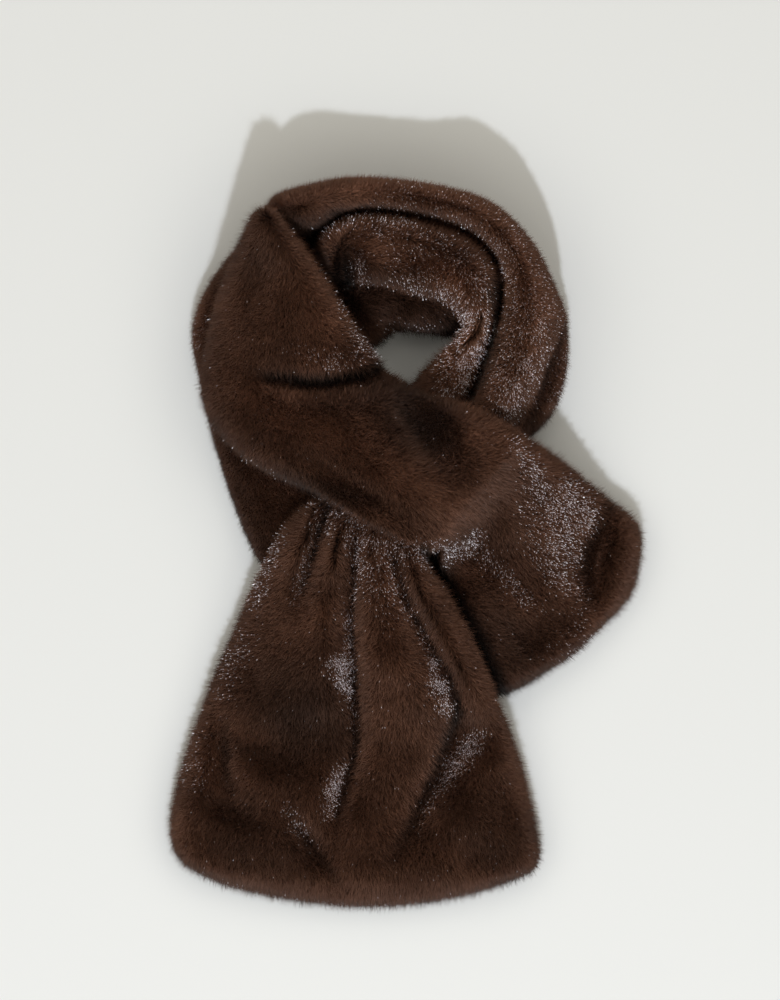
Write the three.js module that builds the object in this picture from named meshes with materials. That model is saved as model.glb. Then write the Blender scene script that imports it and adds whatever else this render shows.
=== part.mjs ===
// A plush fur scarf with a pull-through slit, laid flat with its collar loop closed.
// Millimetres, +Z up. The floor that it lies on is z = 0 and +Y points from the two tails to the neck.
//
// The scarf is one long band of fur with fur on both faces. Each stretch of the band that shows is a
// solid of its own, as thick as the cloth with its pile. A stretch is a row of rings between an edge A
// and an edge B, and each one is laid on the stretches that are already under it.
import * as THREE from "three";

// Driving sizes
const BAND_THICK = 22; // both pelts with their pile, lying loose
const EDGE_ROUND = 13; // how far in from an edge the pile rounds off
const REST_GAP = 0.35; // between a stretch and what it lies on
const FLOOR = 0;

// How finely the rings are drawn
const EDGE_STEPS = 3; // columns in each rounded edge
const MAP_CELL = 2; // the height map's squares
const MAP_HALF = 220; // and how far it reaches from the middle
const THINNEST = 0.35; // a lifted stretch is squeezed to this share of its thickness

// Turns a header and rows of numbers into rows with named columns.
function table(header, rows) {
  const names = header.split(" ");
  return rows.map((row) => Object.fromEntries(names.map((name, i) => [name, row[i]])));
}

// Every section says where its edges A and B lie (x, y and the height of the edge's middle), how thick
// the band is there, how far its top swells in the middle, and how far its line bows along the band.
const SECTION = "ax ay az bx by bz thick crown bow";

const UNDER_STRIP = table(SECTION, [
  [-3, -78, 9, 5, -24, 9, 17, 0, 0],
  [-33, -57, 9, -1, -13, 9, 18, 0, 0],
  [-57, -37, 9, -4, -3, 9, 20, 0, 0],
  [-75, -17, 10, -9, 8, 10, 21, 0, 0],
  [-85, 0, 10, -18, 18, 10, BAND_THICK, 0, 0],
  [-92, 17, 10, -29, 29, 10, BAND_THICK, 0, 0],
  [-98, 33, 10, -38, 41, 10, BAND_THICK, 1, 0],
  [-103, 50, 10, -47, 54, 10, BAND_THICK, 1, 0],
  [-107, 67, 10, -54, 67, 10, BAND_THICK, 1, 0],
  [-110, 83, 10, -57, 80, 10, BAND_THICK, 0, 0],
  [-115, 101, 10, -58, 94, 10, BAND_THICK, 0, 0],
  [-116, 118, 10, -58, 107, 10, BAND_THICK, 0, 0],
  [-111, 133, 10, -57, 120, 10, BAND_THICK, 0, 0],
  [-101, 149, 10, -55, 132, 10, 21, 0, 0],
  [-88, 164, 10, -50, 143, 10, 21, 0, 0],
  [-74, 176, 10, -45, 151, 10, 20, 0, 0],
  [-60, 184, 10, -38, 158, 10, 20, 0, 0],
  [-43, 190, 10, -28, 163, 10, 20, 0, 0],
  [-22, 192, 10, -16, 165, 10, 20, 0, 0],
  [0, 191, 10, 0, 164, 10, 20, 0, 0],
  [21, 187, 10, 14, 161, 10, 20, 0, 0],
  [40, 181, 10, 28, 154, 10, 20, 0, 0],
  [57, 170, 10, 40, 144, 10, 20, 0, 0],
  [72, 154, 10, 47, 133, 10, 20, 0, 0],
  [83, 136, 10, 49, 121, 10, 20, 0, 0],
  [89, 118, 10, 50, 110, 10, 20, 0, 0],
  [89, 102, 10, 48, 99, 10, 20, 0, 0],
  [86, 86, 10, 44, 87, 10, 20, 0, 0],
  [81, 71, 10, 39, 75, 10, 19, 0, 0],
  [71, 59, 9, 31, 67, 9, 18, 0, 0],
  [54, 51, 9, 22, 60, 9, 17, 0, 0],
]);

const INNER_FOLD = table(SECTION, [
  [-47, 131, 10, -33, 107, 8, 17.6, 0, 0],
  [-38, 140, 11.5, -22, 105, 9, 20.3, 1, 0],
  [-30, 145, 12.5, -12, 110, 9.5, 22.5, 2, 0],
  [-18, 150, 12.5, -5, 116, 9.5, 23.1, 2, 0],
  [-4, 151, 12.5, 7, 115, 9.5, 23.1, 2, 0],
  [10, 149, 12.5, 18, 113, 9.5, 22.5, 2, 0],
  [23, 143, 11.5, 27, 112, 9, 20.3, 1, 0],
  [30, 136, 10, 32, 115, 8, 17, 0, 0],
]);

const SIDE_TAIL = table(SECTION, [
  [11, -8, 32, 67.2, 57.6, 40, 23, 8, 0],
  [12, -26, 14, 73, 53, 36, 23, 10, 0],
  [7, -44, 10, 80, 48, 31, 23, 9, 0],
  [4, -63, 10, 87, 43, 26, 23, 7, 0],
  [8, -80, 10, 94, 37, 21, 23, 5, 0],
  [21, -90, 10, 101, 31, 17, BAND_THICK, 4, 0],
  [38, -88, 10, 109, 25, 14, BAND_THICK, 3, 0],
  [56, -81, 10, 117, 19, 12, BAND_THICK, 2, 0],
  [75, -70, 10, 124, 13, 11, BAND_THICK, 2, 0],
  [90, -60, 10, 127.5, 6, 10, 21, 1, 1],
  [102, -49, 9, 127, -4, 9, 18, 0, 3],
  [109, -41, 7, 125, -13, 7, 12, 0, 4],
]);

const INNER_ROLL = table(SECTION, [
  [-48, 158, 26, -36, 131, 22, 22, 0, 0],
  [-46, 166, 24.7, -32, 136, 25.7, 29.4, 2, 0],
  [-38, 173, 28.5, -27, 139, 26.5, 31, 4, 0],
  [-27, 178, 28.5, -17, 140, 25.5, 29, 6, 0],
  [-11, 178.5, 27.5, -5, 137, 24.5, 27, 6, 0],
  [5, 176, 27.5, 6, 134, 24.5, 27, 6, 0],
  [21, 172, 29, 14, 132, 26, 30, 6, 0],
  [35, 166, 31, 21, 130, 29, 33, 5, 0],
  [44, 158, 32, 27, 127, 30, 35, 5, 0],
  [50, 148, 32, 30, 122, 29, 34, 4, 0],
  [51, 136, 31, 31, 117, 28, 34, 4, 0],
  [49, 123, 29, 29, 112, 26, 33, 3, 0],
  [46, 111, 26, 24, 106, 24, 32, 3, 0],
  [42, 99, 23, 17, 100, 21, 31, 2, 0],
  [38, 87, 20, 11, 94, 19, 30, 1, 0],
  [32, 76, 25, 6, 88, 17, 25, 0, 0],
  [26, 68, 22, 1, 81, 14, 22, 0, 0],
  [18, 60, 20, -3, 72, 12, 19, 0, 0],
]);

const OUTER_ROLL = table(SECTION, [
  [-79, 177, 28, -66, 171, 26, 22, 0, 0],
  [-75, 185, 29, -59, 168, 24, 30, 4, 0],
  [-66, 190, 33, -52, 168, 28, 38, 6, 0],
  [-54, 192.5, 34, -45, 172, 29, 38, 6, 0],
  [-41, 196, 31.5, -35, 178, 27.5, 33, 6, 0],
  [-26, 197.5, 29.5, -24, 180, 25.5, 29, 6, 0],
  [-11, 197, 29, -9, 180, 25, 28, 6, 0],
  [5, 195, 29.5, 5, 178, 25.5, 29, 6, 0],
  [21, 192, 31.5, 19, 174.5, 27.5, 33, 6, 0],
  [36, 188, 34, 32, 170, 31, 39, 6, 0],
  [49, 182, 32, 42, 163, 30, 36, 7, 0],
  [59, 173, 32, 49, 155, 31, 37, 8, 0],
  [69, 162, 29, 52.5, 144, 30, 34, 9, 0],
  [76, 149, 28, 53, 134, 31, 35, 10, 0],
  [81, 134, 27, 51, 123, 31, 34, 11, 0],
  [83, 119, 26, 48, 112.5, 31, 33, 11, 0],
  [79, 105, 26, 44.7, 102, 31, 32, 11, 0],
  [74, 91, 26, 41, 89.5, 30, 30, 9, 0],
  [67, 77, 26, 37, 77.5, 28, 28, 7, 0],
  [60, 65, 25, 32, 67, 32, 25, 2, 0],
  [50, 55, 29, 24, 58.5, 29, 20, 0, 0],
]);

const FRONT_TAIL = table(SECTION, [
  [22, 50, 24, 48, 45, 24, 38, 2, 0],
  [8, 44, 26, 39, 33, 26, 36, 4, 0],
  [-10, 38, 30, 29, 21, 30, 32, 5, 0],
  [-29, 33, 33, 19, 9, 33, 29, 6, 0],
  [-47, 26, 33, 10, -1, 34, 27, 8, 0],
  [-61, 14, 29, 15, -14, 33, 26, 10, 0],
  [-72, -2, 24, 23, -28, 32, 25, 12, 0],
  [-79.5, -17, 16, 31, -42, 31, 24, 13, 0],
  [-86, -33, 12, 38, -56, 30, 24, 13, 0],
  [-94, -51, 11, 44.5, -71, 29, 24, 12, 0],
  [-102, -69, 11, 50.5, -86, 23, 24, 10, 0],
  [-109, -88, 11, 56, -101, 15, 24, 7, 0],
  [-116, -107, 11, 61, -116, 12, 24, 5, 0],
  [-122, -127, 11, 65.5, -132, 11, 24, 4, 1],
  [-126, -145, 11, 69, -148, 11, 24, 3, 3],
  [-127, -159, 11, 72, -163, 11, 23, 2, 6],
  [-124, -169, 10, 72.5, -172, 10, 21, 2, 9],
  [-116, -177, 9, 69, -178, 9, 17, 1, 12],
  [-103, -182.5, 7, 59, -181, 7, 11, 0, 14.5],
]);

const FRONT_STRIP = table(SECTION, [
  [-80, 180, 54, -73, 183, 56, 18, 0, 0],
  [-85.5, 171, 50, -66, 175, 54, 22, 1, 0],
  [-90.5, 160, 43, -57, 162, 51, 23, 3, 0],
  [-96, 147, 35, -47, 148, 48, 23, 4, 0],
  [-102, 131, 31, -37.5, 132, 45, 23, 4, 0],
  [-106, 115, 29, -29, 118, 43, 23, 5, 0],
  [-109, 99, 28, -21, 107, 41, 23, 5, 0],
  [-110.5, 84, 28, -14, 98, 40, 23, 6, 0],
  [-107, 69, 29, -9.5, 93, 42, 23, 8, 0],
  [-96, 54, 31, -4, 89, 44, 23, 10, 0],
  [-80, 40, 35, 4, 85.5, 46, 23, 10, 0],
  [-62, 32, 41, 13, 81, 48, 23, 9, 0],
  [-47, 25.5, 49, 24, 77, 50, 22, 7, 0],
  [-33, 17, 54, 36, 74, 51, 21, 6, 0],
  [-18, 7.5, 55, 48, 69, 50, 21, 5, 0],
  [-3, 0.5, 50, 59, 63, 46, 22, 6, 0],
  [10.5, -7.3, 35, 66.7, 58, 41, 23, 8, 0],
]);

// A crease is a trough along a line on the floor plan. Each point says how deep it is, and how far its
// slopes reach on the left and on the right of the line.
const CREASE = "x y depth left right";

const TAIL_CREASES = [
  // the pleat at the left of the slit
  table(CREASE, [
    [-37, 21, 8, 7, 7],
    [-45, 3, 10, 8, 7],
    [-52, -11, 10, 9, 7],
    [-57, -23, 7, 9, 7],
    [-60, -36, 0, 8, 7],
  ]),
  // the long pleat down the middle
  table(CREASE, [
    [-26, 13, 8, 6, 8],
    [-28, -9, 11, 6, 10],
    [-29, -30, 12, 6, 12],
    [-28, -52, 13, 6, 15],
    [-26, -74, 13, 6, 17],
    [-25.5, -93, 10, 6, 12],
    [-27, -109, 9, 6, 11],
    [-30, -125, 9, 7, 12],
    [-37, -138, 8, 9, 9],
    [-39, -149, 6, 9, 8],
    [-37, -163, 0, 9, 8],
  ]),
  // a short gather beside it
  table(CREASE, [
    [-15, 7, 4, 6, 6],
    [-18, -17, 5, 6, 6],
    [-20, -37, 0, 6, 6],
  ]),
  // the pleat at the right of the slit
  table(CREASE, [
    [-7, 2, 7, 5, 8],
    [-4, -12, 9, 5, 9],
    [0, -27, 11, 5, 11],
    [7, -42, 12, 6, 13],
    [14, -57, 12, 6, 15],
    [21, -74, 12, 7, 17],
    [27, -88, 10, 8, 12],
    [28, -98, 9, 9, 9],
  ]),
  // which runs on, down to the hem
  table(CREASE, [
    [28, -98, 9, 20, 10],
    [22, -114, 9, 21, 11],
    [14, -130, 8, 19, 12],
    [7, -145, 7, 15, 12],
    [-1, -160, 5, 12, 12],
    [-7, -176, 0, 10, 10],
  ]),
  // and branches to the right
  table(CREASE, [
    [28, -98, 8, 6, 14],
    [40, -102, 6, 6, 14],
    [51, -111, 0, 6, 12],
  ]),
  // a crease that reaches the hem on the left
  table(CREASE, [
    [-66, -145, 2, 13, 9],
    [-57, -155, 7, 13, 9],
    [-48, -167, 6, 12, 9],
    [-39, -181, 2, 10, 9],
  ]),
  // a broad sag across the left half
  table(CREASE, [
    [-98, -107, 1, 26, 14],
    [-80, -112, 3.5, 28, 16],
    [-56, -112, 4, 28, 16],
    [-33, -109, 3, 22, 14],
  ]),
  // dents near the left edge
  table(CREASE, [
    [-97, -79, 0, 9, 9],
    [-99, -101, 4, 9, 9],
    [-99, -119, 6, 9, 10],
    [-93, -133, 4, 8, 9],
  ]),
  table(CREASE, [
    [-104, -135, 2, 8, 7],
    [-92, -142, 5, 9, 7],
    [-80, -147, 2, 8, 7],
  ]),
  table(CREASE, [
    [-90, -62, 2, 9, 9],
    [-87, -78, 4, 9, 9],
  ]),
];

const STRIP_CREASES = [
  // the deep fold where the band turns the corner
  table(CREASE, [
    [-11, 93, 13, 10, 5],
    [-25, 89.5, 16, 10, 5],
    [-41, 87.5, 17, 10, 5],
    [-57, 87, 15, 11, 6],
    [-70, 90, 9, 10, 7],
    [-80, 97, 0, 9, 8],
  ]),
  // the step down to the lip of the slit
  table(CREASE, [
    [-62, 44, 0, 8, 13],
    [-41, 36, 5, 8, 14],
    [-25, 28, 8, 8, 14],
    [-11, 18.5, 9, 8, 13],
    [-2, 10, 9, 8, 12],
    [6, 1, 6, 8, 11],
  ]),
  // a dimple above the knot
  table(CREASE, [
    [1, 76, 3, 18, 17],
    [8, 67, 8, 20, 18],
    [14, 57, 8, 20, 18],
    [19, 46, 3, 18, 17],
  ]),
  // a soft dent in the shoulder
  table(CREASE, [
    [-76, 157, 1, 14, 12],
    [-79, 145, 4, 14, 12],
    [-81, 132, 1, 14, 12],
  ]),
];

const SIDE_CREASES = [
  // a hollow before the hem, with a long slope down to it
  table(CREASE, [
    [106, 26, 1, 12, 18],
    [103, 8, 8, 12, 24],
    [98.5, -9, 10, 12, 26],
    [98, -20, 9, 12, 22],
    [104, -36, 2, 12, 14],
  ]),
  // the hollow below the slit's end
  table(CREASE, [
    [45, 18, 2, 7, 22],
    [43, 3, 9, 7, 27],
    [41, -7, 10, 8, 26],
  ]),
  table(CREASE, [
    [41, -7, 10, 24, 8],
    [27, -15, 10, 24, 8],
    [16, -22, 8, 20, 8],
  ]),
  // a soft run towards the hem
  table(CREASE, [
    [48, -9, 5, 10, 16],
    [61, -24, 6, 11, 18],
    [76, -37, 2, 10, 16],
  ]),
  table(CREASE, [
    [38, -41, 2, 14, 14],
    [61, -47, 5, 14, 16],
    [84, -42, 2, 14, 14],
  ]),
];

const ROLL_CREASES = [
  // where the inner fold begins
  table(CREASE, [
    [-33, 162, 3, 7, 5],
    [-31.5, 150, 9, 9, 5],
    [-29, 135, 9, 9, 5],
  ]),
  // the crook between two folds at the right
  table(CREASE, [
    [12, 129, 9, 8, 7],
    [19, 136, 7, 8, 8],
    [27, 142, 0, 7, 7],
  ]),
  // the hollow between the roll and its fold
  table(CREASE, [
    [-29, 162, 3, 8, 8],
    [-11, 160, 5, 9, 9],
    [8, 153, 5, 9, 9],
    [22, 145, 2, 8, 8],
  ]),
  // the fold low on the right
  table(CREASE, [
    [25, 98, 5, 8, 12],
    [37, 103, 6, 8, 12],
    [44, 108, 2, 8, 12],
  ]),
];

const FOLD_CREASES = [
  table(CREASE, [
    [-8, 132, 2, 5, 5],
    [-9, 122, 7, 5, 5],
    [-10, 114, 9, 5, 5],
  ]),
];

// How far the top is pressed down at a point of the floor plan.
function pressed(creases, x, y) {
  let most = 0;
  for (const crease of creases) {
    for (let i = 1; i < crease.length; i++) {
      const from = crease[i - 1];
      const to = crease[i];
      const run = Math.hypot(to.x - from.x, to.y - from.y);
      const ux = (to.x - from.x) / run;
      const uy = (to.y - from.y) / run;
      const share = THREE.MathUtils.clamp(((x - from.x) * ux + (y - from.y) * uy) / run, 0, 1);
      const away = Math.hypot(x - from.x - share * run * ux, y - from.y - share * run * uy);
      const side = ux * (y - from.y) - uy * (x - from.x) > 0 ? "left" : "right";
      const reach = THREE.MathUtils.lerp(from[side], to[side], share);
      if (away < reach) {
        const depth = THREE.MathUtils.lerp(from.depth, to.depth, share);
        most = Math.max(most, depth * (1 - (away / reach) ** 2) ** 2);
      }
    }
  }
  return most;
}

// The heights of what is already laid, as a map of squares.
class Laid {
  constructor() {
    this.side = Math.ceil((2 * MAP_HALF) / MAP_CELL);
    this.heights = new Float32Array(this.side * this.side);
  }

  cell(value) {
    return THREE.MathUtils.clamp(Math.floor((value + MAP_HALF) / MAP_CELL), 0, this.side - 1);
  }

  // Raises the map to the surface of a piece.
  add(geometry) {
    const at = geometry.getAttribute("position");
    const index = geometry.index;
    const corner = [new THREE.Vector3(), new THREE.Vector3(), new THREE.Vector3()];
    const point = new THREE.Vector3();
    for (let i = 0; i < index.count; i += 3) {
      corner.forEach((c, k) => c.fromBufferAttribute(at, index.getX(i + k)));
      const [a, b, c] = corner;
      const longest = Math.max(a.distanceTo(b), b.distanceTo(c), c.distanceTo(a));
      const steps = Math.ceil(longest / (MAP_CELL / 2));
      for (let u = 0; u <= steps; u++) {
        for (let v = 0; v <= steps - u; v++) {
          point.set(0, 0, 0);
          point.addScaledVector(a, 1 - (u + v) / steps);
          point.addScaledVector(b, u / steps);
          point.addScaledVector(c, v / steps);
          const k = this.cell(point.y) * this.side + this.cell(point.x);
          this.heights[k] = Math.max(this.heights[k], point.z);
        }
      }
    }
  }

  // The highest surface within reach of a point.
  under(x, y, reach) {
    let highest = 0;
    for (let j = this.cell(y - reach); j <= this.cell(y + reach); j++) {
      for (let i = this.cell(x - reach); i <= this.cell(x + reach); i++) {
        highest = Math.max(highest, this.heights[j * this.side + i]);
      }
    }
    return highest;
  }
}

// Smooth in-between sections, spaced evenly along the band.
function sectionsOf(rows, count) {
  const names = Object.keys(rows[0]);
  const along = [0];
  for (let i = 1; i < rows.length; i++) {
    const [p, q] = [rows[i - 1], rows[i]];
    const run = Math.hypot(q.ax + q.bx - p.ax - p.bx, q.ay + q.by - p.ay - p.by) / 2;
    along.push(along[i - 1] + run);
  }
  const values = rows.flatMap((row) => names.map((name) => row[name]));
  const curve = new THREE.CubicInterpolant(along, values, names.length);
  return Array.from({ length: count }, (_, i) => {
    const found = curve.evaluate((along.at(-1) * i) / (count - 1));
    return Object.fromEntries(names.map((name, k) => [name, found[k]]));
  });
}

// The columns across one section: how far each is from edge A, as a share, and how round it is there.
function columnsOf(width, middleSteps) {
  const round = Math.min(EDGE_ROUND, width / 2);
  const edge = Array.from({ length: EDGE_STEPS + 1 }, (_, i) => {
    const turn = (i / EDGE_STEPS) * (Math.PI / 2);
    return { share: (round * (1 - Math.cos(turn))) / width, full: Math.sin(turn) };
  });
  const inside = edge.at(-1).share;
  const middle = Array.from({ length: middleSteps - 1 }, (_, i) => ({
    share: THREE.MathUtils.lerp(inside, 1 - inside, (i + 1) / middleSteps),
    full: 1,
  }));
  const mirrored = edge.map((c) => ({ share: 1 - c.share, full: c.full })).reverse();
  return [...edge, ...middle, ...mirrored];
}

// One stretch of the band as a closed body.
function stretchBody(rows, laid, { rings, across, creases = [], reach = 3 }) {
  const sections = sectionsOf(rows, rings);
  const points = [];
  const rowOf = [];
  sections.forEach((s, i) => {
    const before = sections[Math.max(i - 1, 0)];
    const after = sections[Math.min(i + 1, rings - 1)];
    const ahead = new THREE.Vector2(
      after.ax + after.bx - before.ax - before.bx,
      after.ay + after.by - before.ay - before.by,
    ).normalize();
    const columns = columnsOf(Math.hypot(s.bx - s.ax, s.by - s.ay), across);
    const made = columns.map(({ share, full }) => {
      const swell = 1 - (2 * share - 1) ** 2;
      const x = THREE.MathUtils.lerp(s.ax, s.bx, share) + ahead.x * s.bow * swell;
      const y = THREE.MathUtils.lerp(s.ay, s.by, share) + ahead.y * s.bow * swell;
      const middle = THREE.MathUtils.lerp(s.az, s.bz, share);
      const half = (full * s.thick) / 2;
      const below = laid.under(x, y, reach);
      const support = below > FLOOR ? below + REST_GAP : FLOOR;
      const low = Math.max(middle - half, support);
      const sunk = pressed(creases, x, y) * full;
      const high = Math.max(middle + s.crown * swell + half - sunk, low + 2 * half * THINNEST);
      return { x, y, low, high };
    });
    rowOf.push(points.length);
    const last = made.length - 1;
    made.forEach((p) => points.push([p.x, p.y, p.high]));
    for (let k = last - 1; k > 0; k--) points.push([made[k].x, made[k].y, made[k].low]);
  });

  const ringSize = points.length / rings;
  const faces = [];
  for (let i = 0; i + 1 < rings; i++) {
    for (let k = 0; k < ringSize; k++) {
      const next = (k + 1) % ringSize;
      const [a, b] = [rowOf[i] + k, rowOf[i] + next];
      const [c, d] = [rowOf[i + 1] + k, rowOf[i + 1] + next];
      faces.push([a, b, d], [a, d, c]);
    }
  }
  const top = ringSize / 2;
  const cap = (start, flip) => {
    for (let k = 0; k < top; k++) {
      const quad = [k, k + 1, (ringSize - k - 1) % ringSize, (ringSize - k) % ringSize];
      const [p, q, r, t] = quad.map((n) => start + n);
      for (const face of [[p, q, r], [p, r, t]]) {
        if (new Set(face).size === 3) faces.push(flip ? face.reverse() : face);
      }
    }
  };
  cap(rowOf[0], true);
  cap(rowOf[rings - 1], false);
  return facingOut(points, faces);
}

// The body with its faces turned outwards.
function facingOut(points, faces) {
  let volume = 0;
  const corner = (i) => new THREE.Vector3(...points[i]);
  for (const [a, b, c] of faces) volume += corner(a).dot(corner(b).cross(corner(c)));
  const order = volume < 0 ? ([a, b, c]) => [a, c, b] : (face) => face;
  const geometry = new THREE.BufferGeometry();
  geometry.setAttribute("position", new THREE.Float32BufferAttribute(points.flat(), 3));
  geometry.setIndex(faces.flatMap(order));
  geometry.computeVertexNormals();
  return geometry;
}

const scarf = new THREE.Group();
const laid = new Laid();

// Lays one stretch on what is there already, and adds it to the scarf.
function lay(name, colour, rows, options) {
  const geometry = stretchBody(rows, laid, options);
  laid.add(geometry);
  const fur = new THREE.MeshStandardMaterial({ color: colour, roughness: 0.85, metalness: 0 });
  const mesh = new THREE.Mesh(geometry, fur);
  mesh.name = name;
  scarf.add(mesh);
}

// From the floor up
lay("under_strip", 0x38241a, UNDER_STRIP, { rings: 46, across: 4 });
lay("collar_inner_fold", 0x33200f, INNER_FOLD, { rings: 14, across: 5, creases: FOLD_CREASES, reach: 2 });
lay("side_tail", 0x3d281e, SIDE_TAIL, { rings: 20, across: 14, creases: SIDE_CREASES });
lay("collar_inner_roll", 0x3f2a20, INNER_ROLL, { rings: 32, across: 5, creases: ROLL_CREASES, reach: 2 });
lay("collar_outer_roll", 0x412b21, OUTER_ROLL, { rings: 34, across: 3 });
lay("front_tail", 0x3d281e, FRONT_TAIL, { rings: 34, across: 22, creases: TAIL_CREASES });
lay("front_strip", 0x3c271b, FRONT_STRIP, { rings: 30, across: 15, creases: STRIP_CREASES });

// The origin is under the middle of the scarf.
const middle = new THREE.Box3().setFromObject(scarf).getCenter(new THREE.Vector3());
scarf.children.forEach((mesh) => mesh.geometry.translate(-middle.x, -middle.y, 0));

export default scarf;
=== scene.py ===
"""Dresses the plush pull-through scarf: its pelts, its pile and the studio that it lies in."""

import logging
import math
from collections.abc import Sequence
from dataclasses import dataclass
from enum import Enum

import bpy
import numpy as np
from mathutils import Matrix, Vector
from mathutils.bvhtree import BVHTree


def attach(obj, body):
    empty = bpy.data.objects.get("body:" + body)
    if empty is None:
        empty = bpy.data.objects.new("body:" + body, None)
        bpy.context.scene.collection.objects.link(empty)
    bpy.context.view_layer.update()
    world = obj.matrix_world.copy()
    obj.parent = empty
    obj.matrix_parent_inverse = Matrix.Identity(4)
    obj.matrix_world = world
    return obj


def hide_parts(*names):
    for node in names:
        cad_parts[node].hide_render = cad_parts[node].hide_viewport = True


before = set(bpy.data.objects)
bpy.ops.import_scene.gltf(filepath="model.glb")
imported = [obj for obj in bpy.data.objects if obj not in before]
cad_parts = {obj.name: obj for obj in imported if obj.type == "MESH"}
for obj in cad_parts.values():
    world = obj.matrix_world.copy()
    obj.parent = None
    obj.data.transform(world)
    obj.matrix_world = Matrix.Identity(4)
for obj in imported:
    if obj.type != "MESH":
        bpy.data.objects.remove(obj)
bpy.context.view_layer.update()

MM = 0.001
VIEW_CENTRE = (-8.6, 22.4)  # on the floor plan, in millimetres
VIEW_HEIGHT = 540.0  # in millimetres on the floor plan
VIEW_PIXELS = (780, 1000)  # width and height
NARROW, BROAD = 2.0, 1.0  # how steeply a stroke fades towards its reach
log = logging.getLogger("scarf")


class Held(Enum):
    """How a stretch of the cloth lies."""

    LAID = "laid"
    FOLDED = "folded"
    GATHERED = "gathered"


class Reach(Enum):
    """The attributes of a pelt that its strands and its skin read."""

    NAP = "nap"
    OUT = "out"
    PILE = "pile"
    # where glossy strands grow, turned towards the key light, with a painted highlight on their tips
    GLOSS = "gloss"
    DEEP = "deep"
    # painted light and shade, by which the colour of the skin and of the strands is scaled
    TONE = "tone"


def on_plan(x: float, y: float) -> np.ndarray:
    """Where a place in the view's pixels lies on the floor plan, in millimetres."""
    aside = np.array((x - VIEW_PIXELS[0] / 2, VIEW_PIXELS[1] / 2 - y))
    return np.array(VIEW_CENTRE) + aside * VIEW_HEIGHT / VIEW_PIXELS[1]


@dataclass(frozen=True)
class Stroke:
    """A line on the floor plan, with a strength and a reach on each side of it.

    Each row is x and y in pixels of the view, strength, and reach to the left and right in millimetres.
    """

    rows: tuple[tuple[float, float, float, float, float], ...]
    sharpness: float

    def strength(self, plan: np.ndarray) -> np.ndarray:
        """How strong the stroke is at points of the floor plan.

        Args:
            plan: points as rows of x and y, in millimetres.

        Returns:
            One strength for each point, zero beyond the stroke's reach.
        """
        most = np.zeros(len(plan))
        for start, end in zip(self.rows, self.rows[1:]):
            begin, run = on_plan(*start[:2]), on_plan(*end[:2]) - on_plan(*start[:2])
            length = float(np.hypot(*run))
            unit = run / length
            away = plan - begin
            share = np.clip(away @ unit / length, 0.0, 1.0)
            across = away - share[:, None] * run
            left = unit[0] * away[:, 1] - unit[1] * away[:, 0] > 0
            low, high = np.array(start[2:]), np.array(end[2:])
            here = low + share[:, None] * (high - low)
            reach = np.where(left, here[:, 1], here[:, 2])
            bell = np.clip(1.0 - (np.hypot(*across.T) / reach) ** 2, 0.0, None) ** self.sharpness
            most = np.maximum(most, here[:, 0] * bell)
        return most


def strokes(sharpness: float, *lines: tuple[tuple[float, ...], ...]) -> tuple[Stroke, ...]:
    """Strokes of one sharpness, one for each group of rows."""
    return tuple(Stroke(rows, sharpness) for rows in lines)


def strongest(several: Sequence[Stroke], plan: np.ndarray) -> np.ndarray:
    """The strongest of several strokes at each point of the floor plan.

    Args:
        several: the strokes, which may be none.
        plan: points as rows of x and y, in millimetres.

    Returns:
        One strength for each point.
    """
    most = np.zeros(len(plan))
    for stroke in several:
        most = np.maximum(most, stroke.strength(plan))
    return most


def smooth_noise(points: np.ndarray, size: float, seed: int) -> np.ndarray:
    """Soft noise from a few waves in random directions.

    Args:
        points: points in metres.
        size: the length of the shortest wave in millimetres.
        seed: what the waves are drawn from.

    Returns:
        One value from about -1 to 1 for each point.
    """
    draw = np.random.default_rng(seed)
    total = np.zeros(len(points))
    waves = 14
    for _ in range(waves):
        way = draw.normal(size=3)
        way *= 2 * math.pi / (size * MM * draw.uniform(1.0, 2.2)) / np.linalg.norm(way)
        total += np.sin(points @ way + draw.uniform(0, 2 * math.pi))
    return total / math.sqrt(waves)


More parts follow.
